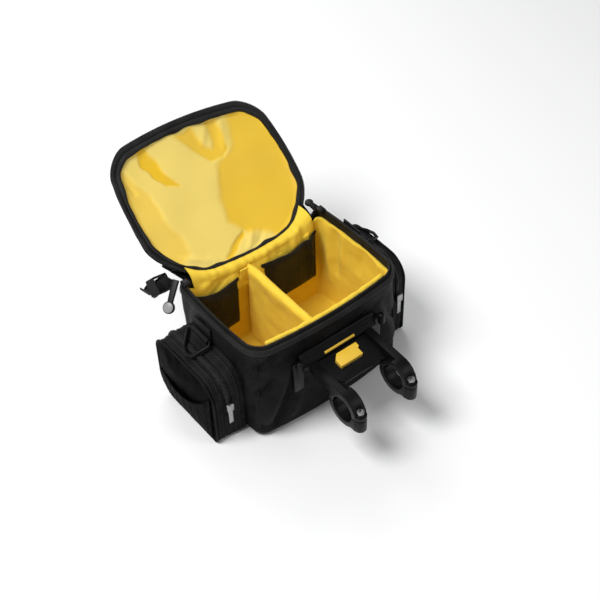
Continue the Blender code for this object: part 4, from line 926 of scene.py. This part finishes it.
def satin_finish(name, pale, painted_shade_colour):
    """Satin painted from a pale, lit colour to a deeper colour of painted shade, by the cloth's stored turn.
    """
    made, shade, shader = start_finish(name)
    turn = shade.node("ShaderNodeAttribute", {"attribute_name": "turn"}, output=2)
    cloudy, fine = shade.mottle(26.0, 3.0), shade.mottle(900.0, 2.0)
    # Painted shade: the stored turn darkens the satin where a flat turns from the light.
    tone = (turn * 0.92 + cloudy * 0.22 + fine * 0.06 - 0.12).held()
    tone.between(pale, painted_shade_colour).feed(shader, "Base Color")
    (turn * 0.10 + 0.38).feed(shader, "Roughness")
    shader.inputs["Specular IOR Level"].default_value = 0.25
    fine.raised(shader, 0.00006, 0.5)
    return made


# The first colour is the pale, lit satin and the second its painted shade.
SATIN = satin_finish("yellow_lining_satin", (0.84, 0.64, 0.155), (0.80, 0.49, 0.010))
lining_edge = lid_outline(BAND * 0.95)
lining_middle = Vector((0.0, LID_LENGTH / 2))
LINING_RINGS = 70
LINING_WALL = 0.0006
lining_rows, lining_painted_shade = [], []
for ring in range(LINING_RINGS):
    share = 1 - ring / (LINING_RINGS - 1) * 0.988
    hollow = 0.0012 + 0.0050 * (1 - share ** 4)
    row = []
    for p in lining_edge:
        flat = lining_middle + (p - lining_middle) * share
        loose = min(1.0, (1 - share) / 0.04)
        lift = fold_height(LINING_CREASES, flat.x, flat.y)
        lift += noise.noise(Vector((flat.x * 22, flat.y * 22, 7))) * 0.0022
        # Painted shade: each point keeps the largest turn of the flats it lies in.
        turn = 0.0
        for piece in LINING_FLATS:
            part = flat_share(piece, flat.x, flat.y)
            lift -= piece.sink * part
            turn = max(turn, piece.turn * part)
        lining_painted_shade.append(turn)
        row.append(lid_place @ Vector((flat.x, flat.y, -hollow + lift * loose)))
    lining_rows.append(row)
lining = sewn("lid_lining_cloth", lining_rows, SATIN, closed=True, caps=(False, True))
# The painted shade is stored on the points as the attribute turn.
stored = lining.data.attributes.new("turn", "FLOAT", "POINT")
stored.data.foreach_set("value", lining_painted_shade)
thick = lining.modifiers.new("wall", "SOLIDIFY")
thick.thickness = LINING_WALL
thick.offset = -1.0
on_bag(settle(lining), "yellow_lining", "lid_lining")


# Lid band: a wide black tape binds the lining into the lid, wavy along its inner edge. Outside it the
# second half of the zip runs all round, with its coil on the very edge.
def lid_ribbon(name, section, finish, wave=0.0):
    """A ribbon all round the lid; its section's points are (inset, height) from the lid's edge, and
    those past the middle of the section wave in and out."""
    rows = []
    middle = sum(inset for inset, height in section) / len(section)
    for inset, height in section:
        row = []
        for p in lid_outline(inset):
            drift = 0.0
            if inset > middle:
                drift = wave * noise.noise(Vector((p.x * 55, p.y * 55, 4.0)))
            toward = (lining_middle - p).normalized() * drift
            swell = 0.0004 * noise.noise(Vector((p.x * 90, p.y * 90, 9.0)))
            row.append(lid_place @ Vector((p.x + toward.x, p.y + toward.y, height + swell)))
        rows.append(row)
    return face_out(sewn(name, rows, finish, closed=True, loop=True))


BAND_SECTION = ((0.0046, -0.0014), (0.0045, 0.0006), (0.0053, 0.0018), (0.0068, 0.0021), (0.0082, 0.0016),
                (0.0090, 0.0004), (0.0088, -0.0016))
BAND_WAVE = 0.0026
LID_ZIP_SECTION = ((0.0, -0.0012), (0.0, 0.0008), (0.0012, 0.0015), (0.0030, 0.0010), (0.0041, 0.0004),
                   (0.0041, -0.0012))
LID_TEETH = (0.0017, 0.0012, 0.0016, 0.0026)
on_bag(lid_ribbon("lid_band_cloth", BAND_SECTION, BINDING, BAND_WAVE), "black_zip_tape", "lid_band")
on_bag(lid_ribbon("lid_zip_tape", LID_ZIP_SECTION, BINDING), "black_zip_tape", "lid_zip")
coil_edge = [(lid_place @ Vector((p.x, p.y, 0.0002)), lid_up) for p in lid_outline(-0.0002)]
set_along("lid_zip_coil", [(coil_edge, True)], TEETH, *LID_TEETH, "black_zip_tape")
seams = [([(lid_place @ Vector((p.x, p.y, height)), lid_up) for p in lid_outline(inset)], True)
         for inset, height in ((0.0052, 0.0020), (0.0065, 0.0021))]
set_along("lid_band_stitches", seams, THREADS, *STITCH, "black_zip_tape")

# Hinge: the front wall's cloth runs up into the lid, black outside. Inside, the padded yellow lining
# goes over it in one piece, from the nets up to the lid's band, and puckers along the fold.
hinge_cloth = refined("hinge_strip", "hinge_cloth", 0.003, NYLON,
                      lambda p: noise.noise(p * 60) * 0.0005, ease=1)
on_bag(hinge_cloth, "black_cloth", "hinge_strip")
HINGE_FOLDS = (
    Fold(-0.088, 0.20, -0.060, 0.70, 0.0070, 0.0034),
    Fold(-0.070, 0.10, -0.046, 0.60, 0.0050, -0.0030),
    Fold(-0.040, 0.20, -0.030, 0.90, 0.0060, 0.0028),
    Fold(-0.016, 0.10, -0.012, 0.70, 0.0050, -0.0026),
    Fold(0.006, 0.20, 0.014, 0.90, 0.0060, 0.0026),
    Fold(0.034, 0.10, 0.030, 0.80, 0.0060, -0.0028),
    Fold(0.052, 0.20, 0.060, 0.80, 0.0060, 0.0034),
    Fold(0.070, 0.10, 0.074, 0.90, 0.0050, -0.0032),
    Fold(0.084, 0.20, 0.088, 0.80, 0.0050, 0.0036),
)
HINGE_HALF = 0.0870
HINGE_ACROSS = 96
HINGE_UP = 24
HINGE_FOLD = 0.6
hinge_edge = [lid_place @ Vector((p.x, p.y, -0.0012)) for p in lid_outline(0.0070) if p.y < 0.028]
facing_rows = []
for step in range(HINGE_ACROSS + 1):
    x = -HINGE_HALF + 2 * HINGE_HALF * step / HINGE_ACROSS
    drop = rim_drop(x, RIM_FRONT)
    top = RIM_HEIGHT - drop
    low = LINER_TOP - drop - 0.016
    edge = min(hinge_edge, key=lambda q: abs(q.x - x))
    row = []
    for rise in range(HINGE_UP + 1):
        share = rise / HINGE_UP
        if share < HINGE_FOLD:
            part = share / HINGE_FOLD
            z = low + (top - low) * part
            inset = SHELL_WALL + LINER_CLEARANCE + LINER_WALL + 0.0008 - 0.0056 * part ** 2
            point = Vector((x, front_wall_y(x, min(z, top), RIM_HEIGHT, inset) - 0.0004, z))
            crown = point
        else:
            part = (share - HINGE_FOLD) / (1 - HINGE_FOLD)
            point = crown.lerp(edge, part) + Vector((0, -0.0040, 0.0030)) * math.sin(math.pi * part)
        pucker = 0.0006 * math.sin(x * 520 + 3 * noise.noise(Vector((x * 30, 0, 0)))) * share
        pleat = fold_height(HINGE_FOLDS, x, share)
        free = min(1.0, (HINGE_HALF - abs(x)) / 0.012)
        tucked = min(1.0, (1 - share) / 0.12)
        row.append(point + Vector((0, -0.8, 0.6)) * (pucker + pleat * 0.7 + 0.0020) * free * tucked)
    facing_rows.append(row)
facing = sewn("hinge_lining", press(facing_rows, lambda p: noise.noise(p * 50) * 0.0007), BRUSHED, 0.0010,
              offset=0.0)
on_bag(facing, "yellow_padding")


# Zip sliders and pulls at the ends of the lid's zip: moulded black plastic, rounded at their edges. The
# left pull ends in a disc with a plain grey face.
def eased_copy(node, name, finish, width, segments=3, edge_angle=30):
    """A node's solid with its flat faces whole again and its edges rounded."""
    made, shape = start_copy(node, name)
    bmesh.ops.dissolve_limit(shape, angle_limit=math.radians(1), verts=shape.verts, edges=shape.edges)
    end_copy(made, shape, finish)
    soft = made.modifiers.new("round", "BEVEL")
    soft.width = width
    soft.segments = segments
    soft.limit_method = "ANGLE"
    soft.angle_limit = math.radians(edge_angle)
    return settle(made)


def moulded_finish(name, dark, light, roughness, grain, coat=0.0, gloss=0.45):
    """Moulded plastic: a fine eroded grain, and handling marks that dull it in places."""
    made, shade, shader = start_finish(name)
    fine, broad = shade.mottle(1500.0, 2.0), shade.mottle(60.0, 5.0)
    broad.between(dark, light).feed(shader, "Base Color")
    (broad * 0.3 + (roughness - 0.15)).feed(shader, "Roughness")
    shader.inputs["Coat Weight"].default_value = coat
    shader.inputs["Specular IOR Level"].default_value = gloss
    fine.raised(shader, grain, 0.6)
    return made


MOULDED = moulded_finish("black_moulded_plastic", (0.0015, 0.0015, 0.0017), (0.005, 0.005, 0.0054), 0.40,
                         0.00006, gloss=0.17)
PULL_FACE = moulded_finish("grey_pull_face", (0.22, 0.22, 0.22), (0.34, 0.34, 0.34), 0.4, 0.00004)
for label in ("left", "right"):
    for part in ("slider", "pull"):
        node = "%s_lid_%s" % (label, part)
        on_bag(eased_copy(node, node + "_moulding", MOULDED, 0.0003, 2), "black_plastic", node)
PULL_DISC_RADIUS = 0.0060
face_centre = Vector((0.0, -0.0255 - 0.0072, 0.0040))
pull_turn = Euler((math.pi / 2 - math.radians(44), 0.0, math.radians(-61)), "XYZ").to_matrix().to_4x4()
pull_place = Matrix.Translation((-0.1045, 0.0770, 0.1495)) @ pull_turn
face_rows = []
for radius, height in ((PULL_DISC_RADIUS, 0.0), (PULL_DISC_RADIUS, 0.0006),
                       (PULL_DISC_RADIUS - 0.0005, 0.0009), (0.0002, 0.0009)):
    face_rows.append([pull_place @ (face_centre + Vector((x, y, height)))
                      for x, y in round_section(radius, 40)])
on_bag(sewn("pull_face", face_rows, PULL_FACE, closed=True, caps=(True, True)), "black_plastic")

# Side pockets: a padded gusset that slopes down to an outer panel, with a zip along its crown between
# stitched tapes, and a welt round the outer edge. Both are cut alike, in the two sizes of the table.
Pocket = namedtuple("Pocket", "name side rear front outer_x wall_top outer_top corner")
POCKETS = (
    Pocket("left", -1, -0.046, 0.071, 0.145, 0.103, 0.089, 0.016),
    Pocket("right", 1, -0.045, 0.058, 0.1385, 0.124, 0.113, 0.016),
)
# As on the main nylon, its strong patches are painted glints as well as wear.
CROWN = woven_finish("black_pocket_nylon", (0.0004, 0.0004, 0.0005), (0.028, 0.028, 0.030), 0.0030, 0.00060,
                     0.50, 0.0, 0.06, 0.9, 1.3)
PANEL = woven_finish("black_smooth_nylon", (0.0004, 0.0004, 0.0005), (0.005, 0.005, 0.0054), 0.0012, 0.00010,
                     0.60, 0.0, 0.02, 0.3)
METAL, metal_shade, metal_shader = start_finish("nickel_plated_zinc")
metal_wear = metal_shade.mottle(420.0, 6.0)
metal_wear.between((0.20, 0.20, 0.20), (0.50, 0.50, 0.50)).feed(metal_shader, "Base Color")
(metal_wear * 0.3 + 0.18).feed(metal_shader, "Roughness")
metal_shader.inputs["Metallic"].default_value = 1.0


wall_rings = {}


def seat_x(y, z):
    """How far out the main wall reaches at (y, z), where a pocket is sewn on."""
    key = round(max(z, BASE_EDGE), 3)
    if key not in wall_rings:
        wall_rings[key] = body_plan(key, 0.0)
    return 0.001 + max(crossing(wall_rings[key], 1, y + step, 1) for step in (-0.0018, 0.0, 0.0018))


def pocket_row(pocket, share, spread=0.0):
    """The gusset's outline from the wall (share 0) to the outer panel (share 1)."""
    rear = pocket.rear + 0.004 * share
    front = pocket.front - 0.011 * (1 - share)
    top = pocket.wall_top + (pocket.outer_top - pocket.wall_top) * share
    corner = pocket.corner + spread
    radii = (corner, pocket.corner * 1.6 + spread, pocket.corner * 0.5 + spread,
             pocket.corner * (0.5 + 1.5 * share) + spread)
    row = []
    half = (front - rear) / 2 + spread
    for point in outline(half, -spread, top + spread, radii, 0.0, 0.0, 0.002, 12, 30):
        y, z = (rear + front) / 2 + point.x, point.y
        wall = seat_x(y, z)
        row.append(Vector((pocket.side * (wall + (pocket.outer_x - wall) * share), y, z)))
    return row if pocket.side > 0 else list(reversed(row))


PANEL_RINGS = 19


def panel_rows(pocket):
    """The outer panel as rings, from inside the gusset's edge to near its middle."""
    edge = pocket_row(pocket, 1.0)
    middle_y, middle_z = (pocket.rear + 0.004 + pocket.front) / 2, pocket.outer_top / 2
    rows = []
    for step in range(1, PANEL_RINGS + 1):
        scale = 1 - 0.96 * step / PANEL_RINGS
        x = pocket.side * (pocket.outer_x + 0.0045 * (1 - scale ** 3))
        rows.append([Vector((x, middle_y + (p.y - middle_y) * scale, middle_z + (p.z - middle_z) * scale))
                     for p in edge])
    return rows


def pocket_relief(point):
    lift = noise.noise(point * 30) * 0.0026 + noise.noise(point * 82) * 0.0009
    return lift * min(1.0, max(0.0, point.z / 0.01))


def facing_out(row):
    """Each point of a gusset's row with the way it faces."""
    middle = sum(row, Vector()) / len(row)
    return [(p, (p - middle).normalized()) for p in row]


GUSSET_ROWS = 32
POCKET_WALL = 0.0018
TAPE_SEAMS = (0.14, 0.41, 0.70, 0.94)
SEAM_DEPTH = 0.0011
STITCHED_LINES = (0.20, 0.36, 0.76, 0.90)
POCKET_WELT_RADIUS = 0.0013
POCKET_TEETH = (0.0016, 0.0011, 0.0030, 0.0013)
for pocket in POCKETS:
    gusset = [pocket_row(pocket, step / GUSSET_ROWS) for step in range(GUSSET_ROWS + 1)]
    for share in TAPE_SEAMS:
        row = gusset[round(share * GUSSET_ROWS)]
        middle = sum(row, Vector()) / len(row)
        row[:] = [p + (middle - p).normalized() * SEAM_DEPTH for p in row]
    gusset = press(gusset, pocket_relief, True)
    on_bag(sewn(pocket.name + "_pocket_gusset", gusset, CROWN, POCKET_WALL, closed=True), "black_cloth",
           pocket.name + "_pocket")
    panel = press([pocket_row(pocket, 1.0)] + panel_rows(pocket), pocket_relief, True)
    on_bag(sewn(pocket.name + "_pocket_panel", panel, PANEL, POCKET_WALL, closed=True, caps=(False, True)),
           "black_cloth")
    welt = [Vector((p.x, p.y, max(p.z, POCKET_WELT_RADIUS))) for p in pocket_row(pocket, 1.0, 0.0004)]
    on_bag(swept(pocket.name + "_pocket_welt", welt, round_section(POCKET_WELT_RADIUS), CROWN,
                 [Vector((pocket.side, 0, 0))] * len(welt), closed=True), "black_cloth")
    tape_seams = []
    for share in STITCHED_LINES:
        seam_row = facing_out(gusset[round(share * GUSSET_ROWS)])
        tape_seams.append(([(p + face * 0.0003, face) for p, face in seam_row if p.z > 0.003], False))
    set_along(pocket.name + "_pocket_stitches", tape_seams, THREADS, *STITCH, "black_cloth")
    node = pocket.name + "_pocket_zip"
    on_bag(refined(node, node + "_tape", 0.003, BINDING, None, (1, 2)), "black_zip_tape", node)
    crown = [(p, face) for p, face in facing_out(pocket_row(pocket, 0.56, 0.0024))
             if p.z > pocket.wall_top * 0.54]
    set_along(pocket.name + "_pocket_coil", [(crown, False)], TEETH, *POCKET_TEETH, "black_zip_tape")
    for part in ("slider", "pull"):
        node = "%s_pocket_%s" % (pocket.name, part)
        on_bag(eased_copy(node, node + "_metal", METAL, 0.0003, 2), "bright_metal", node)

# Pocket nets: elastic net over the lower part of each outer panel, gathered into fine upright ribs,
# with a top edge that dips in the middle.
RIB_PITCH = 0.0032
RUNG_PITCH = 0.0020
RIBBED_NET, rib_shade, rib_shader = start_finish("black_ribbed_net")
rib_across, rib_along = rib_shade.cloth_map()
ribs = rib_shade.maths("SINE", rib_across * (2 * math.pi / RIB_PITCH)) * 0.5 + 0.5
rungs = rib_shade.maths("SINE", rib_along * (2 * math.pi / RUNG_PITCH)) * 0.5 + 0.5
rib_tone = (ribs * (rungs * 0.5 + 0.5)).between((0.0004, 0.0004, 0.0004), (0.007, 0.007, 0.007))
rib_tone.feed(rib_shader, "Base Color")
rib_shader.inputs["Roughness"].default_value = 0.55
rib_shader.inputs["Specular IOR Level"].default_value = 0.04
(ribs + rungs * 0.3).raised(rib_shader, 0.0005, 1.0)
NET_CUT_SHARE = 0.72


def ribbed_relief(point):
    return 0.0006 * math.sin(point.y * 1500) + noise.noise(point * 70) * 0.0008


for pocket in POCKETS:
    node = pocket.name + "_pocket_mesh"
    pocket_net = refined(node, node + "_net", 0.0025, RIBBED_NET, ribbed_relief, (1, 2))
    on_bag(pocket_net, "black_mesh", node)
    low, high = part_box(node)
    width, length = high[1] - low[1], high[2] - low[2]
    NET_CUT_SHARE * width * length

# Strap rings: a moulded ring hangs in a folded loop of webbing, sewn to the wall over each pocket.
WEBBING = woven_finish("black_webbing", (0.0015, 0.0015, 0.0015), (0.024, 0.024, 0.024), 0.0021, 0.0005,
                       0.5, 0.0, 0.16, 0.8)
for pocket in POCKETS:
    node = pocket.name + "_strap_web"
    on_bag(refined(node, node + "_cloth", 0.002, WEBBING, None, (1, 2)), "black_webbing", node)
    node = pocket.name + "_strap_ring"
    on_bag(eased_copy(node, node + "_wire", MOULDED, 0.0002, 1, 60), "black_plastic", node)

# Folded strap: spare webbing doubled back on itself in uneven turns, gripped by an elastic keeper at
# the front left corner.
STRAP_START = Vector((-0.1117, 0.0877, 0.1447))
STRAP_END = Vector((-0.1267, 0.1042, 0.1257))
STRAP_TURNS = 6
STRAP_STEPS = 24
strap_run = (STRAP_END - STRAP_START).normalized()
strap_side = strap_run.cross(Vector((0, 0, 1))).normalized()
strap_up = strap_side.cross(strap_run).normalized()
strap_middle = (STRAP_START + STRAP_END) / 2
strap_path, strap_ups = [], []
for step in range(STRAP_TURNS * STRAP_STEPS + 1):
    turn = step / STRAP_STEPS
    angle = 2 * math.pi * turn
    reach = 0.0165 + 0.0050 * noise.noise(Vector((round(turn * 2) * 1.7, 0.3, 0.9)))
    across = (0.0008 + 0.0016 * turn) * math.sin(angle) * (0.6 + 0.4 * abs(math.cos(angle)))
    lift = 0.0060 * noise.noise(Vector((turn * 1.1, 4.1, 0.7))) * (0.4 + abs(math.cos(angle)))
    strap_path.append(strap_middle + strap_run * reach * math.cos(angle) + strap_side * across
                      + strap_up * lift)
    tilt = 0.5 * noise.noise(Vector((turn * 0.9, 7.7, 0.2)))
    outward = strap_run * math.cos(angle) * 0.6 + strap_side * math.sin(angle)
    strap_ups.append(outward + strap_up * tilt)
strap_section = [(-0.0056, -0.0005), (0.0056, -0.0005), (0.0060, 0.0), (0.0056, 0.0005), (-0.0056, 0.0005),
                 (-0.0060, 0.0)]
on_bag(swept("strap_turns", strap_path, strap_section, WEBBING, strap_ups), "black_webbing", "strap_bundle")
on_bag(refined("bundle_loop", "strap_keeper", 0.002, BINDING, None, (1, 2)), "black_webbing", "bundle_loop")

# Bracket: moulded black plastic with two jaws that close round the bar by socket screws, and the frame
# on the bag that it plugs into, with a post at each end. A yellow mark on the frame and a yellow
# button show where it lets go.
YELLOW_MOULDED = moulded_finish("yellow_moulded_plastic", (0.78, 0.46, 0.02), (0.88, 0.58, 0.07), 0.36,
                                0.00004, 0.3)
for node, width in (("mounting_frame", 0.0006), ("bracket_arms", 0.0008), ("bracket_plate", 0.0004),
                    ("left_jaw_cap", 0.0007), ("right_jaw_cap", 0.0007)):
    on_bag(eased_copy(node, node + "_moulding", MOULDED, width), "black_plastic", node)
FRAME_POST_X = 0.0585
FRAME_POST_RADIUS = 0.0042
POST_ROWS = ((0.7, 0.0), (1.0, 0.0010), (1.0, 0.0125), (0.85, 0.0140), (0.5, 0.0146), (0.5, 0.0136),
             (0.05, 0.0136))
for side, label in ((-1, "left"), (1, "right")):
    base = Vector((side * FRAME_POST_X, -0.0905, 0.1055))
    rows = [[base + Vector((x, y, height)) for x, y in round_section(FRAME_POST_RADIUS * radius, 24)]
            for radius, height in POST_ROWS]
    on_bag(sewn(label + "_frame_post", rows, MOULDED, closed=True, caps=(True, True)), "black_plastic")
for node in ("left_bolt", "right_bolt"):
    on_bag(eased_copy(node, node + "_screw", METAL, 0.0002, 2), "bright_metal", node)
lock_mark = eased_copy("lock_mark", "lock_mark_moulding", YELLOW_MOULDED, 0.0003, 2)
on_bag(lock_mark, "yellow_plastic", "lock_mark")
button = eased_copy("release_button", "release_button_moulding", YELLOW_MOULDED, 0.0006)
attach(button, "button")
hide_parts("release_button")
